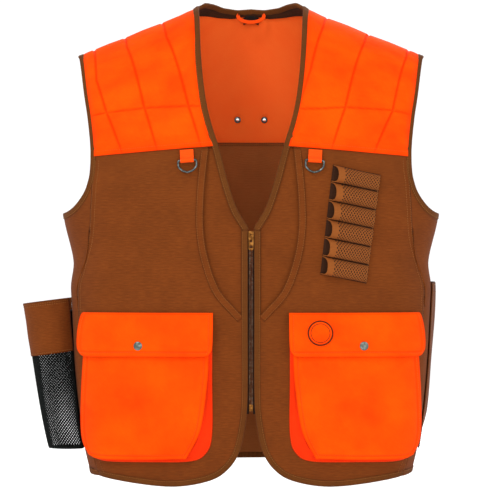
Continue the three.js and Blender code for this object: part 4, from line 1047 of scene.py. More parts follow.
def flat_pattern(mesh: bpy.types.Mesh) -> None:
    """Lays pattern coordinates in metres over a mesh, from its front for faces that look forward."""
    co = np.zeros(len(mesh.vertices) * 3)
    mesh.vertices.foreach_get("co", co)
    corners = np.zeros(len(mesh.loops), int)
    mesh.loops.foreach_get("vertex_index", corners)
    co = co.reshape(-1, 3)[corners]
    uv = np.stack([co[:, 0] + 0.4 * co[:, 1], co[:, 2]], -1)
    mesh.uv_layers["pattern"].data.foreach_set("uv", uv.astype(np.float32).ravel())


def frame_at(lift: Lift, x: float, h: float, offset: float, side: float = 1.0) -> Matrix:
    """Frame on a lifted surface in the row frame: x along the cloth, z outward."""
    def spot(a: float, b: float, o: float) -> Vector:
        """One placed point."""
        return Vector(place(lift(np.array([a]), np.array([b]), np.array([o]))[0] * np.array([side, 1, 1])))

    origin = spot(x, h, offset)
    out = (spot(x, h, offset + 1) - origin).normalized()
    up = (spot(x, h + 1, offset) - spot(x, h - 1, offset)).normalized()
    across = up.cross(out).normalized()
    return Matrix.Translation(origin) @ Matrix((across, out.cross(across), out)).transposed().to_4x4()


def turned(name: str, profile: Sequence[Sequence[float]], at: Matrix, finish: Finish,
           steps: int = 32) -> bpy.types.Object:
    """A turned piece: profile (radius, height) in millimetres spun round a frame's z."""
    shape = bmesh.new()
    verts = [shape.verts.new((r * MM, 0, z * MM)) for r, z in profile]
    edges = [shape.edges.new(pair) for pair in zip(verts, verts[1:])]
    bmesh.ops.spin(shape, geom=verts + edges, cent=(0, 0, 0), axis=(0, 0, 1), dvec=(0, 0, 0),
                   angle=2 * math.pi, steps=steps, use_merge=True)
    bmesh.ops.remove_doubles(shape, verts=shape.verts, dist=1e-7)
    bmesh.ops.recalc_face_normals(shape, faces=shape.faces)
    bmesh.ops.transform(shape, matrix=at, verts=shape.verts)
    mesh = bpy.data.meshes.new(name)
    shape.to_mesh(mesh)
    shape.free()
    return link(name, mesh, finish)


def tube(name: str, points: Array, radius: float, closed: bool, finish: Finish) -> bpy.types.Object:
    """A round wire or cord along points in the row frame, as a mesh."""
    curve = bpy.data.curves.new(name, "CURVE")
    curve.dimensions = "3D"
    curve.bevel_depth = radius * MM
    curve.bevel_resolution = 4
    curve.use_fill_caps = not closed
    line = curve.splines.new("POLY")
    line.points.add(len(points) - 1)
    line.points.foreach_set("co", np.hstack([points, np.ones((len(points), 1))]).astype(np.float32).ravel())
    line.use_cyclic_u = closed
    temp = bpy.data.objects.new(name + "_line", curve)
    bpy.context.scene.collection.objects.link(temp)
    bpy.context.view_layer.update()
    mesh = bpy.data.meshes.new_from_object(temp.evaluated_get(bpy.context.evaluated_depsgraph_get()))
    bpy.data.objects.remove(temp)
    mesh.name = name
    return link(name, mesh, finish)


def rounded(corners: Sequence[Sequence[float]], radius: float, steps: int = 6) -> Array:
    """A closed outline with each corner rounded."""
    p = np.array(corners, float)
    out = []
    for i in range(len(p)):
        a, b, c = p[i - 1], p[i], p[(i + 1) % len(p)]
        start = b + (a - b) / np.linalg.norm(a - b) * radius
        end = b + (c - b) / np.linalg.norm(c - b) * radius
        for t in np.linspace(0, 1, steps):
            out.append((1 - t) ** 2 * start + 2 * t * (1 - t) * b + t * t * end)
    return np.array(out)


def level(offset: float) -> Callable[[Array, Array, Array, Array], Array]:
    """A constant stand-off."""
    return lambda a, b, u, v: np.full(np.shape(u), offset)


# ------------------------------------------------------------------------------------ shell


@dataclass
class Fronts:
    """Outer fronts, recessed inner fronts, the facing bands between them, and the side panels."""

    stretch: float = 0.35

    def outer(self, tag: str) -> Sheet:
        """The outer front panel."""
        hem = FRONT_EDGE.inset(-CUT.tuck, HEM_CORNER, 1)
        rise = flip(FRONT_EDGE.inset(-CUT.tuck, POCKET_EDGE_START, HEM_CORNER))
        edge = chain(rise, HAND_POCKET.run(), 0.45)

        def left(t: Array) -> Array:
            """Inner edge, raised at its top."""
            return edge(t) + np.array([0.0, 7.0]) * (np.asarray(t) ** 40)[..., None]

        right = chain(seam_run(SEAM_FOOT, SEAM_HEAD), arm_edge(SEAM_TOP, PAD_LINE - 0.014), 0.9)

        def bottom(t: Array) -> Array:
            """Hem, drawn to the foot of the side seam."""
            return hem(t) + (one(right, 0) - hem(t)) * (np.asarray(t) ** 8)[..., None]

        outline = patch(bottom, level_seam(one(left, 1), one(right, 1)), left, right)

        def stand(a: Array, b: Array, u: Array, v: Array) -> Array:
            """The pocket edge lifts a little; the seams pucker."""
            lip = 2.4 * np.exp(-((u * 200) / 16) ** 2) * np.clip((v - 0.42) * 6, 0,
                                                                 1) * np.clip((1 - v) * 8, 0, 1)
            pucker = self.stretch * np.exp(-(1 - u) * 30) * np.sin(b / 3.2)
            return CUT.face + lip + pucker

        return Sheet(f"front_panel_{tag}", outline, FRONT, stand, 60, 110, SIDES[tag])

    def inner(self, tag: str) -> Sheet:
        """The recessed inner front."""
        top = on_front(62, 503)[1]
        edge = NECK.inset(CUT.tuck, neck_at(382), neck_at(top))
        left = chain(straight(pt(CUT.zip_edge + CUT.tuck, 236), one(edge, 0)), edge, 0.5)
        pocket = HAND_POCKET.run()

        def right(t: Array) -> Array:
            """Its hidden edge under the outer front."""
            inner = left(t)
            far = pocket(np.maximum(0, np.asarray(t) * 1.08 - 0.08))
            return np.stack([np.maximum(inner[..., 0], far[..., 0]) + 28, inner[..., 1]], -1)

        outline = patch(straight(one(left, 0), one(right, 0)), level_seam(one(left, 1), one(right, 1)), left,
                        right)
        return Sheet(f"inner_front_{tag}", outline, FRONT, level(CUT.canvas), 26, 70, SIDES[tag])

    def side(self, tag: str) -> Sheet:
        """The side panel under the arm."""
        run = seam_run(SEAM_FOOT, SEAM_HEAD)

        def seam(t: Array) -> Array:
            """Front seam in (angle, h)."""
            p = run(t)
            return np.stack([angle_of(p[..., 0], p[..., 1]), p[..., 1]], -1)

        first = one(seam, 0)

        def hem(t: Array) -> Array:
            """Hem in (angle, h)."""
            angle = first[0] + (math.pi - 2 * first[0]) * np.asarray(t)
            return np.stack([angle, hem_height(angle) + CUT.tuck], -1)

        def left(t: Array) -> Array:
            """Front edge."""
            start = one(hem, 0)[1]
            return np.stack([seam(t)[..., 0], start + (SEAM_HEAD - start) * np.asarray(t)], -1)

        def right(t: Array) -> Array:
            """Back edge."""
            start = one(hem, 1)[1]
            return np.stack([math.pi - seam(t)[..., 0], start + (SEAM_HEAD - start) * np.asarray(t)], -1)

        walk = ARMHOLE.inset(CUT.tuck, SEAM_TOP, 1)

        def top(t: Array) -> Array:
            """Edge under the arm."""
            t = np.asarray(t)
            q = walk(np.where(t < 0.5, 2 * t, 2 - 2 * t))
            angle = q[..., 0] / MEAN_RADIUS
            curve = np.stack([np.where(t < 0.5, angle, math.pi - angle), q[..., 1]], -1)
            corner = np.where((t < 0.5)[..., None], one(left, 1), one(right, 1))
            return curve + (corner - curve) * (np.abs(2 * t - 1) ** 12)[..., None]

        return Sheet(f"side_panel_{tag}", patch(hem, top, left, right), WRAP, level(CUT.face), 60, 60,
                     SIDES[tag], arc=True)

    def band(self, tag: str) -> Sheet:
        """The facing band on the hand-pocket edge."""
        outer, inner = HAND_POCKET.run(), HAND_POCKET.inset(11.0)

        def outline(u: Array, v: Array) -> Array:
            """Straight across between the two edges."""
            return outer(v) + (inner(v) - outer(v)) * u[..., None]

        def stand(_a: Array, _b: Array, u: Array, v: Array) -> Array:
            """Crowned across and raised between its ends."""
            return (CUT.trim + 0.5 - 0.6 * (2 * u - 1) ** 4
                    + 2.2 * np.clip(v * 8, 0, 1) * np.clip((1 - v) * 8, 0, 1))

        return Sheet(f"pocket_band_{tag}", outline, FRONT, stand, 8, 90, SIDES[tag], 0.8, 2.0)

    def build(self) -> None:
        """Makes the shell's fronts and sides."""
        for tag in SIDES:
            outer, side, band = self.outer(tag), self.side(tag), self.band(tag)
            outer.build(Finish.CANVAS, "vest", "canvas_brown", [outer.name])
            inner = self.inner(tag)
            inner.build(Finish.CANVAS, "vest", "canvas_brown", [inner.name])
            side.build(Finish.CANVAS, "vest", "canvas_brown", [side.name])
            band.build(Finish.CANVAS, "vest", "canvas_brown", [band.name])
            rows = [outer.row("right", 2.2, 0.0, 0.98), outer.row("right", 8.0, 0.0, 0.98),
                    band.row("left", 1.8), band.row("right", 1.6), side.row("right", 2.2, 0, 0.94),
                    side.row("right", 8.0, 0, 0.92)]
            STITCH.sew(f"front_stitches_{tag}", rows, Finish.BROWN_THREAD, "vest", "canvas_brown")


@dataclass
class Back:
    """Back panel, its lining, the orange yoke, the neck facing and label, and the grommets."""

    grommet_at: tuple = (21.0, 555.0)

    def side_edge(self, level_at: float, inward: float) -> Edge:
        """Edge of the back's cloth from the hem up to a level of the armhole."""
        foot = 24 + CUT.tuck
        lower, upper = seam_run(foot, SEAM_HEAD), arm_edge(SEAM_TOP, level_at)
        shift = np.array([inward, 0.0])
        return chain(lambda t: lower(t) - shift, lambda t: upper(t) - shift, 0.85)

    def panel(self, name: str, inward: float, offset: float) -> Sheet:
        """A sheet of the lower back."""
        right = self.side_edge(YOKE_LINE, inward)
        left = mirror_edge(right)
        outline = patch(straight(one(left, 0), one(right, 0)), level_seam(one(left, 1), one(right, 1)), left,
                        right)
        return Sheet(name, outline, BACK, level(offset), 100, 90)

    def yoke(self) -> Sheet:
        """The orange yoke over the back of the shoulders."""
        right = arm_edge(YOKE_LINE + 0.02, 0.004)
        left = mirror_edge(right)
        walk = NECK.inset(CUT.tuck, NECK_RIDGE + 0.004, NECK_MIDDLE)

        def neck(t: Array) -> Array:
            """Neck edge in the back's run of h."""
            p = walk(t)
            return np.stack([p[..., 0], np.minimum(2 * RIDGE - p[..., 1], RIDGE)], -1)

        def half(t: Array) -> Array:
            """Top edge from the middle to the armhole."""
            t = np.asarray(t)
            inner = neck(1 - np.clip(2 * t, 0, 1))
            start, end = pt(one(neck, 0)[0], RIDGE), pt(one(right, 1)[0], RIDGE)
            outer = straight(start, end)(np.clip(2 * t - 1, 0, 1))
            return np.where((t < 0.5)[..., None], inner, outer)

        def top(t: Array) -> Array:
            """Whole top edge."""
            t = np.asarray(t)
            a = half(np.clip(1 - 2 * t, 0, 1)) * np.array([-1.0, 1.0])
            return np.where((t < 0.5)[..., None], a, half(np.clip(2 * t - 1, 0, 1)))

        outline = patch(level_seam(one(left, 0), one(right, 0)), top, below_ridge(left), below_ridge(right))
        eased = eased_rows(outline, 1.5)

        def stand(a: Array, b: Array, u: Array, v: Array) -> Array:
            """Laps over the back panel along its foot."""
            return CUT.face + 1.3 * np.exp(-((v / 0.05) ** 2)) + 0.25 * np.sin(b / 3.4) * np.exp(-v * 20)

        return Sheet("back_yoke", eased, BACK, stand, 110, 60)

    def facing(self) -> Sheet:
        """Dark facing inside the back of the neck."""
        span = NECK_MIDDLE - NECK_RIDGE

        def outline(u: Array, v: Array) -> Array:
            """Facing in the back's run of h."""
            side = np.abs(2 * u - 1)
            out = np.zeros((*np.shape(u), 2))
            flat_u, flat_v, flat_s = np.ravel(u), np.ravel(v), np.ravel(side)
            depth = 26 * flat_v * (0.18 + 0.82 * flat_s**2) + CUT.tuck
            at = NECK_MIDDLE - span * flat_s * 0.97
            base = NECK.inset(0.0)(at)
            ahead = NECK.inset(1.0)(at)
            p = base + (ahead - base) * depth[:, None]
            x = np.where(flat_u < 0.5, -p[:, 0], p[:, 0])
            out.reshape(-1, 2)[:] = np.stack([x, 2 * RIDGE - p[:, 1]], -1)
            return out

        return Sheet("neck_facing", outline, BACK, level(0.6), 60, 8, thickness=0.9)

    def punch(self, mesh: bpy.types.Mesh) -> None:
        """Opens the yoke for the eyelets and rounds the holes."""
        shape = bmesh.new()
        shape.from_mesh(mesh)
        for side in SIDES.values():
            x, z = self.grommet_at
            middle = frame_at(BACK, x, on_front(x, z)[1], CUT.face, side).translation
            near = [f for f in shape.faces if (f.calc_center_median() - middle).length < 0.0034]
            bmesh.ops.delete(shape, geom=near, context="FACES")
            for vert in shape.verts:
                away = vert.co - middle
                if vert.is_boundary and 0 < away.length < 0.009:
                    vert.co = middle + away.normalized() * 0.0034
        shape.to_mesh(mesh)
        shape.free()

    def build(self) -> None:
        """Makes the back."""
        back, yoke = self.panel("back_panel", 0.0, CUT.face), self.yoke()
        lining = self.panel("back_lining", 0.3, CUT.canvas)
        back.build(Finish.CANVAS, "vest", "canvas_brown", ["back_panel"])
        lining.build(Finish.LINING, "vest", "lining_brown", ["back_lining"])
        yoke_cloth = yoke.build(Finish.BLAZE, "vest", "blaze_orange", ["back_yoke"])
        # The yoke's inner face takes the lighter orange copy: painted light on cloth in shade.
        yoke_cloth.data.materials.append(finish_of(Finish.BLAZE_INSIDE))
        yoke_cloth.modifiers["thickness"].material_offset = 1
        self.punch(yoke_cloth.data)
        facing = self.facing()
        facing.build(Finish.FACING, "vest", "facing_brown", ["neck_facing"])
        rows = [back.row("top", 2.5), back.row("top", 8.0)]
        STITCH.sew("back_stitches", rows, Finish.BROWN_THREAD, "vest", "canvas_brown")
        STITCH.sew("yoke_stitches", [yoke.row("bottom", 3.0), yoke.row("bottom", 9.0)], Finish.ORANGE_THREAD,
                   "vest", "blaze_orange")
        inside = [lining.row("top", inset, 0.02, 0.98, -1.9) for inset in (1.6, 4.6)]
        Stitching(width=1.1).sew("lining_stitches", inside, Finish.PATCH_THREAD, "vest", "lining_brown")
        corners = [on_front(x, z) for x in (-12, 12) for z in (701, 712)]
        outline = patch(straight(corners[0], corners[2]), straight(corners[1], corners[3]),
                        straight(corners[0], corners[1]), straight(corners[2], corners[3]))
        label = Sheet("neck_label", outline, BACK, level(-0.9), 12, 8, thickness=0.6)
        label.build(Finish.LABEL, "vest", "label_black", ["neck_label"], rests_on=("neck_facing",))
        x, z = self.grommet_at
        for tag, side in SIDES.items():
            at = frame_at(BACK, x, on_front(x, z)[1], CUT.outer, side)
            ring = [(2.5, -1.0), (3.2, -1.25), (4.6, -1.1), (5.0, -0.5), (4.2, -0.3), (3.1, -0.1), (3.1, 1.8),
                    (4.2, 1.9), (5.0, 2.1), (4.6, 2.7), (3.2, 2.85), (2.5, 2.6), (2.5, -1.0)]
            mount(turned(f"eyelet_{tag}", ring, at, Finish.GUNMETAL), "vest", "gunmetal", f"grommet_{tag}")


@dataclass
class Shoulders:
    """Quilted pads over the front of the shoulders."""

    rise: float = 3.0
    puff: float = 6.6
    groove: float = 2.4
    groove_width: float = 1.7
    lines: dict = field(default_factory=lambda: {
        "R": (((192, 730), (185, 652), (158, 563), (136, 490)),
              ((136, 740), (125, 666), (92, 563), (70, 490)),
              ((238, 720), (229, 602), (213, 555), (187, 485)),
              ((250, 548), (158, 560), (94, 563), (50, 565))),
        "L": (((116, 745), (107, 682), (88, 618), (71, 561), (54, 490)),
              ((180, 730), (169, 658), (139, 561), (116, 490)),
              ((240, 720), (232, 636), (208, 555), (178, 485)),
              ((50, 561), (139, 561), (207, 557), (250, 549))),
    })

    def sheet(self, tag: str) -> Sheet:
        """The pad's outline with its quilted crown."""
        left = NECK.inset(CUT.tuck, neck_at(PAD_CORNER[1]), NECK_RIDGE - 0.001)
        right = arm_edge(PAD_LINE - 0.002, 0.002)
        top = straight(pt(one(left, 1)[0], RIDGE), pt(one(right, 1)[0], RIDGE))
        outline = patch(level_seam(one(left, 0), one(right, 0)), top, below_ridge(left), below_ridge(right))
        eased = eased_rows(outline, 1.5)

        def stand(a: Array, b: Array, u: Array, v: Array) -> Array:
            """Filled between the quilt lines, drawn down at the seams."""
            gap = self.gap_to_lines(tag, np.stack([a, b], -1))
            border = np.minimum(np.minimum(u, 1 - u) * 185, v * 230)
            full = 1 - np.exp(-((border + 1.5) / 8) ** 2)
            cell = 0.5 + 0.5 * (1 - np.exp(-((gap / 22) ** 1.4)))
            channel = self.groove * np.exp(-((gap / self.groove_width) ** 2))
            hem = 1.2 * np.exp(-(((v * 230 - 6.5) / 1.4) ** 2))
            over = 0.2 + 0.8 * np.clip((RIDGE - b) / 150, 0, 1)
            return CUT.outer + self.rise * (0.4 + 0.6
                                            * over) + over * self.puff * full * cell - channel * full - hem

        return Sheet(f"shoulder_pad_{tag}", eased, FRONT, stand, 180, 220, SIDES[tag], 2.0, 4.0)

    def gap_to_lines(self, tag: str, p: Array) -> Array:
        """Distance of pattern points to the nearest quilt line."""
        gap = np.full(p.shape[:-1], 1e3)
        for places in self.lines[tag]:
            line = np.array([on_front(x, z) for x, z in places])
            for start, end in zip(line, line[1:]):
                run = end - start
                t = np.clip(((p - start) @ run) / (run @ run), 0, 1)
                gap = np.minimum(gap, np.linalg.norm(p - start - t[..., None] * run, axis=-1))
        return gap

    def build(self) -> None:
        """Makes both pads as closed filled pieces."""
        for tag, side in SIDES.items():
            pad = self.sheet(tag)
            pad.measure()

            def pattern(u: Array, v: Array) -> Array:
                """Flat place."""
                return pad.outline(u, v) * np.array([side, 1.0])

            def near(u: Array, v: Array) -> Array:
                """Closeness to the seams and the quilt lines, for the painted shade in the grooves and at the
                edges.
                """
                gap = self.gap_to_lines(tag, pad.outline(u, v))
                edge = np.exp(-np.minimum(np.minimum(u, 1 - u) * 185, v * 230) / 4)
                return np.maximum(1.6 * np.exp(-((gap / 1.3) ** 2)), edge)

            mesh = grid_mesh(pad.name, pad.nu, pad.nv, pad.points, pattern, near)
            shape = bmesh.new()
            shape.from_mesh(mesh)
            rim = [e for e in shape.edges if e.is_boundary]
            grown = bmesh.ops.extrude_edge_only(shape, edges=rim)["geom"]
            low = [g for g in grown if isinstance(g, bmesh.types.BMVert)]
            middle = Vector(place(pad.points(np.array([0.5]), np.array([0.5]))[0]))
            for vert in low:
                inner = Vector((middle.x, vert.co.y, middle.z))
                vert.co = vert.co + (inner - vert.co).normalized() * 0.0015 + Vector((0, 0.0045, -0.0015))
            bmesh.ops.holes_fill(shape, edges=[e for e in shape.edges if e.is_boundary], sides=0)
            bmesh.ops.recalc_face_normals(shape, faces=shape.faces)
            shape.to_mesh(mesh)
            shape.free()
            made = link(f"{pad.name}_cloth", mesh, Finish.BLAZE)
            mount(made, "vest", "blaze_orange", pad.name)
            STITCH.sew(f"pad_stitches_{tag}", [pad.row("bottom", 6.5)], Finish.ORANGE_THREAD, "vest",
                       "blaze_orange")


@dataclass
class Bindings:
    """Folded tapes round the neck, the fronts, the hem and the armholes."""

    low: float = -0.6
    high: float = 5.0

    def strip(self, name: str, path: Callable, steps: int, closed: bool = False) -> None:
        """Makes one binding and its stitch line."""
        tape = sweep_tape(f"{name}_tape", path, steps, CUT.binding, self.high - self.low, closed,
                          Finish.BINDING)
        mount(tape, "vest", "binding_brown", name)
        t = np.linspace(0, 1, 700)
        middle, across, up = path(t)
        line = middle + across * (CUT.binding * 0.31) + up * (self.high - self.low) * 0.44
        STITCH.sew(f"{name}_stitches", [(line, up)], Finish.BROWN_THREAD, "vest", "binding_brown")

    def build(self) -> None:
        """Makes every binding."""
        def neck(distance: float) -> Edge:
            """Neck line both ways from the middle."""
            walk = NECK.inset(distance)

            def edge(t: Array) -> Array:
                """Points of the line."""
                t = np.asarray(t)
                p = walk(NECK_MIDDLE * (1 - np.abs(2 * t - 1)))
                return np.stack([np.where(t < 0.5, p[..., 0], -p[..., 0]), p[..., 1]], -1)

            return edge

        self.strip("neck_binding", seam_path(neck(0), FRONT, neck(CUT.binding), self.low, self.high), 320)
        for tag, side in SIDES.items():
            path = seam_path(FRONT_EDGE.inset(0), FRONT, FRONT_EDGE.inset(-CUT.binding), self.low, self.high,
                             side)
            self.strip(f"front_binding_{tag}", path, 200)
            self.strip(f"armhole_binding_{tag}", self.armhole(side), 220, True)
        start = HEM_START - 0.03

        def hem(rise: float) -> Edge:
            """Hem line round the back."""
            def edge(t: Array) -> Array:
                """Points of the line."""
                angle = start + (2 * math.pi - 2 * start) * np.asarray(t)
                return np.stack([angle, hem_height(angle) + rise], -1)

            return edge

        self.strip("back_hem_binding", seam_path(hem(0), WRAP, hem(CUT.binding), self.low, self.high), 240)

    def armhole(self, side: float) -> Callable:
        """Path round an armhole, its back half the mirror of its front."""
        def place_at(u: Array, distance: float, offset: float) -> Array:
            """Points at a distance in from the edge."""
            along = np.maximum(1 - np.abs(2 * u - 1), 0)
            p = ARMHOLE.inset(distance)(along)
            q = WRAP(p[..., 0] / MEAN_RADIUS, np.minimum(p[..., 1], RIDGE), np.full(len(u), offset))
            q[..., 1] = np.where((along < 1e-6) | (along > 1 - 1e-6), 0, q[..., 1])
            return np.where((u < 0.5)[..., None], q, q * np.array([1, -1, 1])) * np.array([side, 1, 1])

        def path(t: Array) -> tuple:
            """Middle, across and up directions."""
            t = np.mod(t, 1.0)
            half = (self.low + self.high) / 2
            a, b = place_at(t, 0.0, half), place_at(t, CUT.binding, half)
            up = place_at(t, CUT.binding / 2, self.high) - place_at(t, CUT.binding / 2, self.low)
            across = (b - a) / np.linalg.norm(b - a, axis=-1, keepdims=True)
            return (a + b) / 2, across, up / np.linalg.norm(up, axis=-1, keepdims=True)

        return path


# ------------------------------------------------------------------------------------ pockets


@dataclass
class BellowsPockets:
    """Orange bellows pockets: front, gusset, flap with its snap, and the patch on the left flap."""

    inner: float = 62.0
    width: float = 180.0
    bottom: float = 40.0
    height: float = 203.0
    depth: float = 12.0
    pin: float = 8.0
    swell: float = 5.0
    belly: float = 3.0
    flap_top: float = 258.0
    drop: float = 65.0
    roll: float = 14.5
    overhang: float = 6.0
    cut_wide: float = 33.0
    cut_high: float = 150.0

    def at(self, x: float, z: float) -> Array:
        """Pocket point from its inner bottom corner."""
        return pt(self.inner + x, self.bottom + z)

    def pocket_stand(self, x: Array, z: Array) -> Array:
        """Stand-off of the pocket front's inner face."""
        u = np.clip((x - self.inner) / self.width, 0, 1)
        v = np.clip((z - self.bottom) / self.height, 0, 1)
        pinned, rise, belly = v**3, np.sin(math.pi * v), np.sin(math.pi * u)
        full = self.depth - self.pin + (self.swell + self.belly * belly) * rise
        return self.pin + (1 - pinned) * full + pinned * self.belly * belly

    def flap_stand(self, z: Array) -> Array:
        """Stand-off of the flap's inner face."""
        down = np.clip((self.flap_top - z) / self.drop, 0, 1)
        return CUT.trim + self.roll * down**0.35

    def edges(self) -> tuple:
        """Inner edge, outer edge and foot of the pocket front."""
        w, cw, ch = self.width, self.cut_wide, self.cut_high
        left = Seam([self.at(cw, 2), self.at(cw * 0.36, ch * 0.3), self.at(cw * 0.06, ch * 0.75),
                     self.at(0, ch), self.at(0, self.height)])
        right = Seam([self.at(w - 11, 7), self.at(w - 2, 30), self.at(w, 90), self.at(w, self.height)])
        foot = Seam([self.at(cw, 2), self.at(w * 0.55, 0), self.at(w - 28, 1), self.at(w - 11, 7)])
        return left, right, foot

    def front(self, tag: str) -> Sheet:
        """The pocket front."""
        left, right, foot = self.edges()
        outline = patch(foot.run(), straight(left.at(np.array([1.0]))[0], right.at(np.array([1.0]))[0]),
                        left.run(), right.run())
        seed = 3 if tag == "L" else 8
        rng = np.random.RandomState(seed)
        phase = rng.uniform(0, 6.28, 6)

        def stand(a: Array, b: Array, u: Array, v: Array) -> Array:
            """Soft creases, and a hem drawn in along its stitch line."""
            calm = np.clip(np.minimum(np.minimum(u, 1 - u) * 9, v * 9), 0, 1) * (1 - 0.6 * v)
            crease = np.sin(a / 17 + b / 41 + phase[0]) + 0.8 * np.sin(a / 31 - b / 23 + phase[1])
            sharp = -np.abs(np.sin(a / 47 + b / 60 + phase[2])) ** 0.5 * 1.2
            hem = np.exp(-((u * self.width - 7) / 1.5) ** 2) + np.exp(-(((1 - u)
                                                                         * self.width - 7) / 1.5) ** 2)
            hem = hem + np.exp(-((v * self.height - 7) / 1.5) ** 2)
            drawn = 0.9 * np.clip(hem, 0, 1)
            base = self.pocket_stand(a, b) + CUT.canvas
            return base + calm * 1.25 * (crease + sharp) - drawn

        return Sheet(f"pocket_front_{tag}", outline, FRONT, stand, 110, 120, SIDES[tag], 1.3, 2.0,
                     sewn=(7.0,))

    def gusset(self, tag: str) -> Sheet:
        """The folded side of the bellows."""
        left, right, foot = self.edges()
        rim = Seam([*[left.at(np.array([t]))[0] for t in (1, 0.82, 0.6, 0.4, 0.2, 0.06)],
                    *[foot.at(np.array([t]))[0] for t in (0.06, 0.5, 0.9)],
                    *[right.at(np.array([t]))[0] for t in (0.06, 0.3, 0.6, 1)]])
        w, h = self.width, self.height
        base = Seam([self.at(-5, h), self.at(-5, h * 0.6), self.at(-5, 40), self.at(4, 10), self.at(28, -2),
                     self.at(w * 0.5, -4), self.at(w - 26, -3), self.at(w - 4, 10), self.at(w + 3, 40),
                     self.at(w + 3, h)])
        low, high = base.run(), rim.inset(0.2)

        def outline(u: Array, v: Array) -> Array:
            """From the panel to the pocket front's rim, folded in half way."""
            p = low(u) + (high(u) - low(u)) * v[..., None]
            tuck = np.sin(math.pi * v) ** 2 * 2.6
            inward = (np.array([self.inner + self.width / 2, self.bottom + self.height / 2]) - p)
            inward = inward / np.linalg.norm(inward, axis=-1, keepdims=True)
            p = p + inward * tuck[..., None]
            return np.stack([p[..., 0], np.minimum(p[..., 1], self.bottom + self.height - 0.3)], -1)

        def stand(a: Array, b: Array, u: Array, v: Array) -> Array:
            """Rises from the panel to the rim."""
            rim_stand = self.pocket_stand(a, b) + 0.6
            ripple = 0.3 * np.sin(u * 60) * np.sin(math.pi * v)
            return (CUT.trim + 0.3) + (rim_stand - CUT.trim - 0.3) * v + ripple

        return Sheet(f"pocket_gusset_{tag}", outline, FRONT, stand, 120, 12, SIDES[tag], 1.0, 2.0)

    def flap(self, tag: str) -> Sheet:
        """The flap over the pocket."""
        inner, outer = self.inner - self.overhang, self.inner + self.width + self.overhang
        low, corner = self.flap_top - self.drop, 12.0
        left = Seam([pt(inner + corner / 2, low + corner / 4), pt(inner + 1, low + corner),
                     pt(inner, low + self.drop / 2), pt(inner, self.flap_top)])
        right = Seam([pt(outer - corner / 2, low + corner / 4), pt(outer - 1, low + corner),
                      pt(outer, low + self.drop / 2), pt(outer - 2, self.flap_top)])
        foot = Seam([left.at(np.array([0.0]))[0], pt(inner + corner * 1.6, low), pt((inner + outer) / 2, low),
                     pt(outer - corner * 1.6, low), right.at(np.array([0.0]))[0]])
        outline = patch(foot.run(), straight(left.at(np.array([1.0]))[0], right.at(np.array([1.0]))[0]),
                        left.run(), right.run())
        phase = 0.6 if tag == "L" else 2.1

        def stand(a: Array, b: Array, u: Array, v: Array) -> Array:
            """Rolled top, slightly waved foot, drawn in at its stitch line."""
            wave = 0.9 * np.sin(a / 26 + phase) * (1 - v) ** 1.3
            gap = np.minimum(np.minimum(u, 1 - u) * 192, v * 65)
            drawn = 0.7 * np.exp(-((gap - 6.5) / 1.3) ** 2)
            return self.flap_stand(b) + CUT.canvas + wave + 0.3 * np.sin(a / 9 + b / 14) - drawn

        eased = eased_rows(outline, 1.4)
        return Sheet(f"pocket_flap_{tag}", eased, FRONT, stand, 120, 60, SIDES[tag], 1.5, 2.0, sewn=(6.5,))

    def build(self) -> None:
        """Makes both pockets."""
        for tag, side in SIDES.items():
            front, gusset, flap = self.front(tag), self.gusset(tag), self.flap(tag)
            front.build(Finish.BLAZE, "vest", "blaze_orange", [front.name])
            # The gussets take the darker, redder orange copy: painted shade of the folds.
            gusset.build(Finish.BLAZE_FOLD, "vest", "blaze_orange", [gusset.name], Held.FOLDED)
            rows = [front.row("left", 7), front.row("right", 7), front.row("bottom", 7),
                    gusset.row("bottom", 1.5)]
            STITCH.sew(f"pocket_stitches_{tag}", rows, Finish.ORANGE_THREAD, "vest", "blaze_orange")
            body = f"flap_{tag}"
            flap.build(Finish.BLAZE, body, "blaze_orange", [flap.name])
            hem = [flap.row("left", 6.5, 0.02, 0.97), flap.row("right", 6.5, 0.02, 0.97),
                   flap.row("bottom", 6.5),
                   flap.row("top", 1.5)]
            STITCH.sew(f"flap_stitches_{tag}", hem, Finish.ORANGE_THREAD, body, "blaze_orange")
            x, z = self.inner + self.width * 0.56, self.flap_top - self.drop + 16
            spot, height = np.array([x]), np.array([z])
            over = float(flap.stand(spot, height, np.array([0.56]), np.array([0.17]))[0])
            cap = [(0, -3.4), (2.6, -3.4), (4.4, -3.0), (4.6, -1.9), (1.5, -1.8), (1.5, 0.0), (6.2, 0.05),
                   (6.7, 0.35), (6.5, 0.9), (5.2, 1.5), (4.6, 1.35), (3.0, 1.7), (0, 1.9)]
            made = turned(f"snap_dome_{tag}", cap, frame_at(FRONT, x, z, over, side), Finish.SNAP)
            mount(made, body, "gunmetal", f"snap_cap_{tag}")
            under = float(self.pocket_stand(spot, height)[0]) + CUT.canvas
            stud = [(0, -2.6), (4.2, -2.6), (4.3, -1.9), (1.5, -1.9), (1.5, 0.0), (4.1, 0.1), (4.0, 0.5),
                    (2.3, 0.9),
                    (2.1, 1.3), (2.3, 1.7), (1.6, 2.1), (0, 2.2)]
            made = turned(f"snap_post_{tag}", stud, frame_at(FRONT, x, z, under, side), Finish.SNAP, 24)
            mount(made, "vest", "gunmetal", f"snap_stud_{tag}")
            if tag == "L":
                self.patch_on(flap)

    def patch_on(self, flap: Sheet) -> None:
        """A blank round patch with an overlocked edge."""
        centre, radius = pt(101, self.flap_top - self.drop * 0.46), 17.6

        def surface(u: Array, v: Array) -> Array:
            """Disc on the flap."""
            a, r = 2 * math.pi * u, radius * v
            x, z = centre[0] + r * np.cos(a), centre[1] + r * np.sin(a)
            uu = (x - flap.outline(np.array([0.0]), np.array([0.5]))[0, 0]) / 192
            stand = flap.stand(x, z, uu, np.full(np.shape(x), 0.4)) + 0.9
            return FRONT(x, z, stand)

        full_turn = 6.283

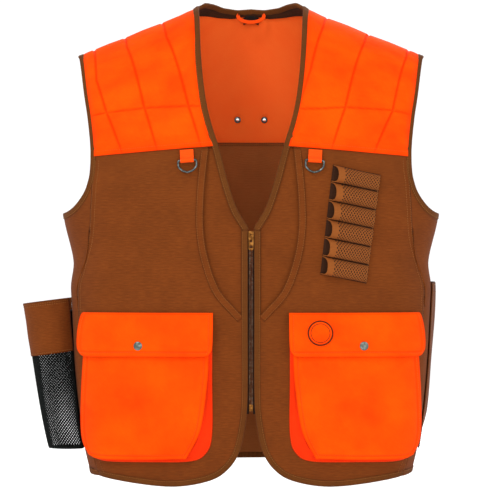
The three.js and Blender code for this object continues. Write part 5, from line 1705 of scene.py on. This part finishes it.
        def pattern(u: Array, v: Array) -> Array:
            """Flat place on the disc."""
            return np.stack([radius * v * np.cos(full_turn * u), radius * v * np.sin(full_turn * u)], -1)

        # The seam values, 0.2 * v, darken the disc towards its rim as painted edge shade.
        mesh = grid_mesh("round_patch_cloth", 48, 8, surface, pattern, lambda u, v: 0.2 * v, weld=True)
        outward(mesh)
        if mesh.polygons[len(mesh.polygons) // 2].normal.y > 0:
            mesh.flip_normals()
        made = link("round_patch_cloth", mesh, Finish.BLAZE)
        thicken(made, 0.8)
        mount(made, "flap_L", "blaze_orange", "round_patch")
        for name, share, wire in (("patch_edge", 1.0, 0.95), ("patch_ring", 0.78, 0.4)):
            ring = place(surface(np.linspace(0, 1, 60, endpoint=False), np.full(60, share)))
            mount(tube(name, ring, wire, True, Finish.PATCH_THREAD), "flap_L", "blaze_orange")


@dataclass
class ShellHolder:
    """Six elastic loops on a backing, open at the inner end and sewn flat at the outer."""

    low_inner: tuple = (102.0, 315.0)
    low_outer: tuple = (170.0, 301.0)
    high_inner: tuple = (121.0, 477.0)
    high_outer: tuple = (191.0, 462.0)
    loops: int = 6
    height: float = 12.4

    def place_on(self, u: Array, v: Array) -> Array:
        """Pattern point of the holder."""
        a, b = on_front(*self.low_inner), on_front(*self.low_outer)
        c, d = on_front(*self.high_inner), on_front(*self.high_outer)
        u1, v1 = np.asarray(u)[..., None], np.asarray(v)[..., None]
        return (a + (b - a) * u1) * (1 - v1) + (c + (d - c) * u1) * v1

    def build(self) -> None:
        """Makes the backing and the loops."""
        backing = Sheet("shell_backing", self.place_on, FRONT, level(CUT.trim + 1.0), 20, 40, 1.0, 0.9)
        # The dark facing finish on the backing is painted shade inside the loops.
        backing.build(Finish.FACING, "vest", "elastic_brown", ["shell_backing"])
        for number in range(self.loops):
            self.loop(number)
        row = backing.row("right", 3.0, 0.0, 1.0, 5.4)
        STITCH.sew("shell_stitches", [row], Finish.BROWN_THREAD, "vest", "elastic_brown")

    def loop(self, number: int) -> None:
        """One elastic loop, slack at its open end."""
        name = f"shell_loop_{self.loops - number}"

        def turn(v: Array) -> Array:
            """Where v lies on the arch, dwelling on its broad face."""
            return math.pi * v

        def outline(u: Array, v: Array) -> Array:
            """Pattern place of the loop's cloth."""
            squeeze = 1 - 0.04 * u
            side = np.cos(turn(v))
            along = number + 0.5 - (0.5 - 0.02) * squeeze * np.sign(side) * np.abs(side) ** 0.9
            start = 0.0 + 0.12 * np.sin(turn(v)) ** 0.6
            droop = 0.10 * np.sin(turn(v)) * (1 - u)
            return self.place_on(start + (0.99 - start) * u, (along - droop) / self.loops)

        def stand(a: Array, b: Array, u: Array, v: Array) -> Array:
            """Full at the open end and pressed flat at the sewn end."""
            full = self.height * (1 - 0.7 * np.clip(u, 0, 1) ** 0.8)
            flat = np.clip(np.sin(turn(v)), 0, 1) ** (0.95 - 0.35 * u)
            sag = (0.9 * np.sin(v * 9 + number) + 0.7
                   * np.sin(u * 7 + v * 5 + 2 * number)) * np.sin(math.pi * v)
            return CUT.trim + 1.4 + full * flat + sag

        sheet = Sheet(name, outline, FRONT, stand, 40, 30, 1.0, 1.1, 2.0)
        made = sheet.build(Finish.ELASTIC, "vest", "elastic_brown", [name], Held.STRETCHED,
                           ("shell_backing",))
        co = np.zeros(len(made.data.loops), int)
        made.data.loops.foreach_get("vertex_index", co)
        count = (sheet.nu + 1) * (sheet.nv + 1)
        shape = np.arange(count)
        u, v = (shape % (sheet.nu + 1)) / sheet.nu, (shape // (sheet.nu + 1)) / sheet.nv
        flat = np.stack([u * 70, v * 34 + number * 40], -1) * MM
        made.data.uv_layers["pattern"].data.foreach_set("uv", flat[co].astype(np.float32).ravel())


@dataclass
class BottlePocket:
    """Canvas band and netting pouch on the wearer's right."""

    top: float = 258.0
    bottom: float = 50.0
    y: float = -6.0
    top_radius: float = 37.0
    bottom_radius: float = 31.0
    lean: float = 28.0
    gap: float = 0.8
    floor_from: float = 0.86

    def wall(self, down: Array, angle: Array, inward: float) -> Array:
        """Point on the pouch wall."""
        radius = self.top_radius + (self.bottom_radius - self.top_radius) * down - inward
        z = self.top + (self.bottom - self.top) * down
        side = FORM.half_width(z) + CUT.face + self.gap
        middle = side + self.top_radius - 5 - self.lean * down * 0.35
        x = np.maximum(middle + radius * np.cos(angle), side + inward)
        return np.stack([-x, self.y + radius * np.sin(angle), z + 0 * x], -1)

    def build(self) -> None:
        """Makes the pouch, its rims and the band."""
        def pouch(u: Array, v: Array) -> Array:
            """Netting wall and floor."""
            angle = 2 * math.pi * u
            down = np.minimum(1, v / self.floor_from)
            p = self.wall(down, angle, 0.6)
            share = np.clip((v - self.floor_from) / (1 - self.floor_from), 0, 0.97)[..., None]
            ones = np.ones_like(u)
            centre = (self.wall(ones, 0 * u, 0.6) + self.wall(ones, 0 * u + math.pi, 0.6)) / 2
            centre[..., 1] = self.y
            return p + (centre - p) * share + np.array([0, 0, 0.6])

        def flat(u: Array, v: Array) -> Array:
            """Flat place on the netting."""
            return np.stack([u * 225, v * 240], -1)

        mesh = grid_mesh("bottle_netting", 46, 50, pouch, flat, None, weld=True)
        shape = bmesh.new()
        shape.from_mesh(mesh)
        old = set(e for e in shape.edges if not e.is_boundary)
        bmesh.ops.poke(shape, faces=shape.faces)
        bmesh.ops.dissolve_edges(shape, edges=[e for e in shape.edges if e in old], use_verts=False)
        bmesh.ops.recalc_face_normals(shape, faces=shape.faces)
        shape.to_mesh(mesh)
        shape.free()
        netting = link("bottle_netting", mesh, Finish.MESH, False)
        wire = netting.modifiers.new("threads", "WIREFRAME")
        wire.thickness = 2.2 * MM
        wire.use_even_offset = False
        mount(netting, "vest", "mesh_black", "bottle_mesh")
        rim = place(self.wall(np.zeros(72), np.linspace(0, 2 * math.pi, 72, endpoint=False), 0.3))
        mount(tube("bottle_rim", rim, 1.7, True, Finish.MESH), "vest", "mesh_black")
        foot = place(self.wall(np.ones(60), np.linspace(0, 2 * math.pi, 60, endpoint=False), 0.6)
                     + np.array([0, 0, 1.2]))
        mount(tube("bottle_foot", foot, 1.1, True, Finish.MESH), "vest", "mesh_black")
        start = -0.8 * math.pi

        def band(u: Array, v: Array) -> Array:
            """Canvas band round the outer side."""
            angle = start * (1 - 2 * u)
            z = self.top + 14 - 80 * (1 - v) - 5 * np.cos(angle) + 2
            down = (self.top - z) / (self.top - self.bottom)
            wave = 0.7 * np.sin(u * 9 + v * 3) + 0.4 * np.sin(v * 11 - u * 5)
            roll = 0.9 * np.exp(-((1 - v) * 80 / 3) ** 2)
            return self.wall(down, angle,
                             0.0) + self.out(angle) * (self.gap + 1.6 + wave * 0.6 + roll)[..., None]

        # The seam values darken the band towards its top and bottom edges as painted edge shade.
        mesh = grid_mesh("bottle_band_cloth", 60, 34, band, lambda u, v: np.stack([u * 197, v * 80], -1),
                         lambda u, v: np.exp(-np.minimum(v, 1 - v) * 80 / 4))
        if mesh.polygons[len(mesh.polygons) // 2 + 30].normal.x > 0:
            mesh.flip_normals()
        made = link("bottle_band_cloth", mesh, Finish.CANVAS)
        thicken(made, 1.5)
        mount(made, "vest", "canvas_brown", "bottle_band")
        rows = []
        for share in (0.035, 0.93, 0.965):
            u = np.linspace(0.01, 0.99, 300)
            v = np.full(300, share)
            p = band(u, v)
            out = self.out(start * (1 - 2 * u))
            rows.append((p + out * 0.2, out))
        STITCH.sew("bottle_stitches", rows, Finish.BROWN_THREAD, "vest", "canvas_brown")

    def out(self, angle: Array) -> Array:
        """Outward direction of the pouch wall."""
        return np.stack([-np.cos(angle), np.sin(angle), 0 * angle], -1)


@dataclass
class GameBag:
    """Large pouch across the lower back."""

    low: float = 52.0
    high: float = 300.0
    depth: float = 22.0
    start: float = 0.46 * math.pi
    end: float = 1.42 * math.pi

    def build(self) -> None:
        """Makes the bag and its hem."""
        def outline(u: Array, v: Array) -> Array:
            """Pattern place of the bag."""
            return np.stack([self.start + (self.end - self.start) * u, self.low + (self.high - self.low) * v],
                            -1)

        def stand(a: Array, b: Array, u: Array, v: Array) -> Array:
            """Hangs open at its mouth and is sewn down at its sides and foot."""
            side = np.sin(np.minimum(1, 4 * np.minimum(u, 1 - u)) * math.pi / 2) ** 1.5
            foot = np.sin(np.minimum(1, 4 * v) * math.pi / 2)
            fold = 1.6 * np.sin(a * 9 + b / 60) + 1.0 * np.sin(a * 17 - b / 37) + 0.7 * np.sin(b / 21 + a * 5)
            return CUT.trim + 2.2 + (self.depth + fold * (0.4 + 0.6 * v)) * side * foot

        bag = Sheet("game_bag", outline, WRAP, stand, 130, 60, arc=True)
        bag.build(Finish.BAG, "vest", "lining_brown", ["game_bag"], rests_on=("back_panel",))
        rows = [bag.row("top", 3), bag.row("top", 16), bag.row("left", 3), bag.row("right", 3),
                bag.row("bottom", 3)]
        STITCH.sew("game_bag_stitches", rows, Finish.BROWN_THREAD, "vest", "lining_brown")


# ------------------------------------------------------------------------------------ hardware


@dataclass
class Zip:
    """Front zip: tapes, two rows of teeth, stops, box, slider and pull."""

    pitch: float = 2.4
    bottom: float = 122.3
    top: float = 372.0

    def build(self) -> None:
        """Makes the zip."""
        for tag, side in SIDES.items():
            tape = copy_of(f"zip_tape_{tag}", f"zip_tape_cloth_{tag}", Finish.ZIP_TAPE, 0.15)
            mount(tape, "vest", "zip_tape", f"zip_tape_{tag}")
            shape = bmesh.new()
            shift = 0.0 if side > 0 else self.pitch / 2
            for z in np.arange(self.bottom + 0.8 + shift, self.top - 0.6, self.pitch):
                middle = Vector(place(np.array([side * 1.75, -125.0, z])))
                size = Matrix.Diagonal((2.5 * MM, 2.4 * MM, 1.35 * MM, 1))
                bmesh.ops.create_cube(shape, size=1.0, matrix=Matrix.Translation(middle) @ size)
            bmesh.ops.bevel(shape, geom=shape.edges[:], offset=0.22 * MM, offset_type="OFFSET", segments=1,
                            profile=0.5, affect="EDGES", material=-1)
            mesh = bpy.data.meshes.new(f"zip_chain_{tag}")
            shape.to_mesh(mesh)
            shape.free()
            mount(link(mesh.name, mesh, Finish.ZIP_TEETH, False), "vest", "zip_brass", f"zip_teeth_{tag}")
            stop = copy_of(f"zip_stop_{tag}", f"zip_top_stop_{tag}", Finish.BRASS, 0.3)
            mount(stop, "vest", "zip_brass", f"zip_stop_{tag}")
        mount(copy_of("zip_box", "zip_retainer", Finish.BRASS, 0.5), "vest", "zip_brass", "zip_box")
        mount(copy_of("zip_slider", "zip_slider_body", Finish.BRASS, 0.45), "slider", "zip_brass",
              "zip_slider")
        mount(copy_of("zip_pull", "zip_pull_tab", Finish.BRASS, 0.35), "pull", "zip_brass", "zip_pull")


@dataclass
class Rings:
    """D-rings and the webbing loops that carry them, and the hanger loop."""

    half: float = 13.5
    foot: float = -18.0

    def build(self) -> None:
        """Makes the rings and their webbing."""
        joints = {j["name"]: j for j in frame["joints"]}
        for tag in SIDES:
            low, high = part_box(f"d_ring_{tag}")
            origin = Vector(joints[f"ring_swing_{tag}"]["pos_m"])
            across = -Vector(joints[f"ring_swing_{tag}"]["axis"])
            down = Vector(((low.x + high.x) / 2, (low.y + high.y) / 2, low.z)) - origin
            down = (down - across * down.dot(across)).normalized()
            flat = rounded([(-self.half, 0), (self.half, 0), (self.half, self.foot + 8.6),
                            (self.half * 0.55, self.foot + 2.4), (0, self.foot),
                            (-self.half * 0.55, self.foot + 2.4),
                            (-self.half, self.foot + 8.6)], 2.4)
            points = np.array([origin + across * (x * MM) - down * (y * MM) for x, y in flat])
            ring = tube(f"d_ring_wire_{tag}", points, 1.5, True, Finish.GUNMETAL)
            mount(ring, f"ring_{tag}", "gunmetal", f"d_ring_{tag}")
            strap = copy_of(f"ring_loop_{tag}", f"ring_strap_{tag}", Finish.WEBBING, 0.4)
            mount(strap, "vest", "orange_webbing", f"ring_loop_{tag}")
        self.hanger()

    def hanger(self) -> None:
        """Flat tape looped down from the middle of the back neck, in front of the facing."""
        low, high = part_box("hanger_loop")

        def path(t: Array) -> tuple:
            """Middle, across and up directions."""
            angle = math.pi * t
            x = (high.x - low.x) / MM * 0.46 * np.cos(angle)
            z = high.z / MM - 3.5 - ((high.z - low.z) / MM - 5.5) * np.sin(angle) ** 0.8
            y = low.y / MM + 0.6 + 2.6 * (1 - np.sin(angle))
            middle = np.stack([x, y, z], -1) + HANG_POINT
            ahead = np.gradient(middle, axis=0)
            up = np.stack([0 * t, -np.ones_like(t), 0 * t], -1)
            across = np.cross(ahead, up)
            return middle, across / np.linalg.norm(across, axis=-1, keepdims=True), up

        tape = sweep_tape("hanger_tape", path, 60, 5.6, 1.5, False, Finish.WEBBING)
        mount(tape, "vest", "orange_webbing", "hanger_loop")


# ------------------------------------------------------------------------------------ stage


@dataclass
class Studio:
    """Pale sweep, soft lights and the camera."""

    camera_at: tuple = (-0.0015, -4.192, -0.3534)
    lens: float = 194.6
    floor_z: float = -0.76
    wall: float = 7000.0

    def build(self) -> None:
        """Makes the stage."""
        def sweep(u: Array, v: Array) -> Array:
            """Floor that curves up into a backdrop."""
            x = (u - 0.5) * 24000
            run = v * 22000 - 11000
            bend = np.clip((run - self.wall) / 2000, 0, 1) * math.pi / 2
            y = np.minimum(run, self.wall) + 2000 * np.sin(bend)
            z = 2000 * (1 - np.cos(bend)) + np.maximum(0, run - self.wall - 2000) * 3
            return np.stack([x, y, z + self.floor_z * 1000], -1) + HANG_POINT

        made, t, out = new_tree("pale_studio_paper")
        grain = add(t, "ShaderNodeTexNoise", {"Vector": add(t, "ShaderNodeTexCoord").outputs["Object"],
                                              "Scale": 3.0}).outputs[0]
        tone = add(t, "ShaderNodeMix", {0: grain, 6: linear("#fbfbfb"), 7: linear("#f7f7f7")},
                   data_type="RGBA").outputs[2]
        shader = add(t, "ShaderNodeBsdfPrincipled", {"Base Color": tone, "Roughness": 0.95,
                                                     "Emission Color": tone, "Emission Strength": 0.16})
        t.links.new(shader.outputs[0], out.inputs[0])
        mesh = grid_mesh("studio_sweep", 4, 60, sweep)
        floor = bpy.data.objects.new("studio_sweep", mesh)
        bpy.context.scene.collection.objects.link(floor)
        mesh.materials.append(made)
        mesh.polygons.foreach_set("use_smooth", [True] * len(mesh.polygons))
        world = bpy.data.worlds.new("soft_studio")
        bpy.context.scene.world = world
        world.use_nodes = True
        sky = world.node_tree.nodes["Background"]
        sky.inputs[0].default_value = (1.0, 1.0, 1.0, 1.0)
        sky.inputs[1].default_value = 0.86
        self.lamp("key", (-1.5, -2.2, 2.0), (0, 0, -0.3), 1.3, 36)
        self.lamp("front", (0.0, -4.6, 0.5), (0, 0, -0.15), 1.2, 26)
        self.lamp("fill", (2.2, -2.6, 0.2), (0, 0, -0.35), 2.4, 16)
        self.lamp("back", (0.5, 2.6, 1.6), (0, 0, -0.3), 2.0, 40)
        camera = bpy.data.cameras.new("camera")
        camera.lens = self.lens
        camera.sensor_width = 36.0
        camera.clip_end = 100.0
        eye = bpy.data.objects.new("camera", camera)
        bpy.context.scene.collection.objects.link(eye)
        eye.location = self.camera_at
        eye.rotation_euler = (math.pi / 2, 0, 0)
        bpy.context.scene.camera = eye
        bpy.context.scene.view_settings.view_transform = "Standard"

    def lamp(self, name: str, at: tuple, aim: tuple, size: float, power: float) -> None:
        """Adds one soft area light."""
        light = bpy.data.lights.new(name, "AREA")
        light.shape = "DISK"
        light.size = size
        light.energy = power
        made = bpy.data.objects.new(name, light)
        bpy.context.scene.collection.objects.link(made)
        made.location = at
        made.rotation_euler = (Vector(aim) - Vector(at)).to_track_quat("-Z", "Y").to_euler()


def main() -> None:
    """Builds every sub-assembly in order."""
    logging.basicConfig(level=logging.INFO, format="%(relativeCreated)d ms: %(message)s")
    for part in (Studio(), Fronts(), Back(), Shoulders(), Bindings(), BellowsPockets(), ShellHolder(),
                 BottlePocket(), GameBag(), Zip(), Rings()):
        part.build()
        LOG.info("built %s", type(part).__name__)


if __name__ == "__main__":
    main()
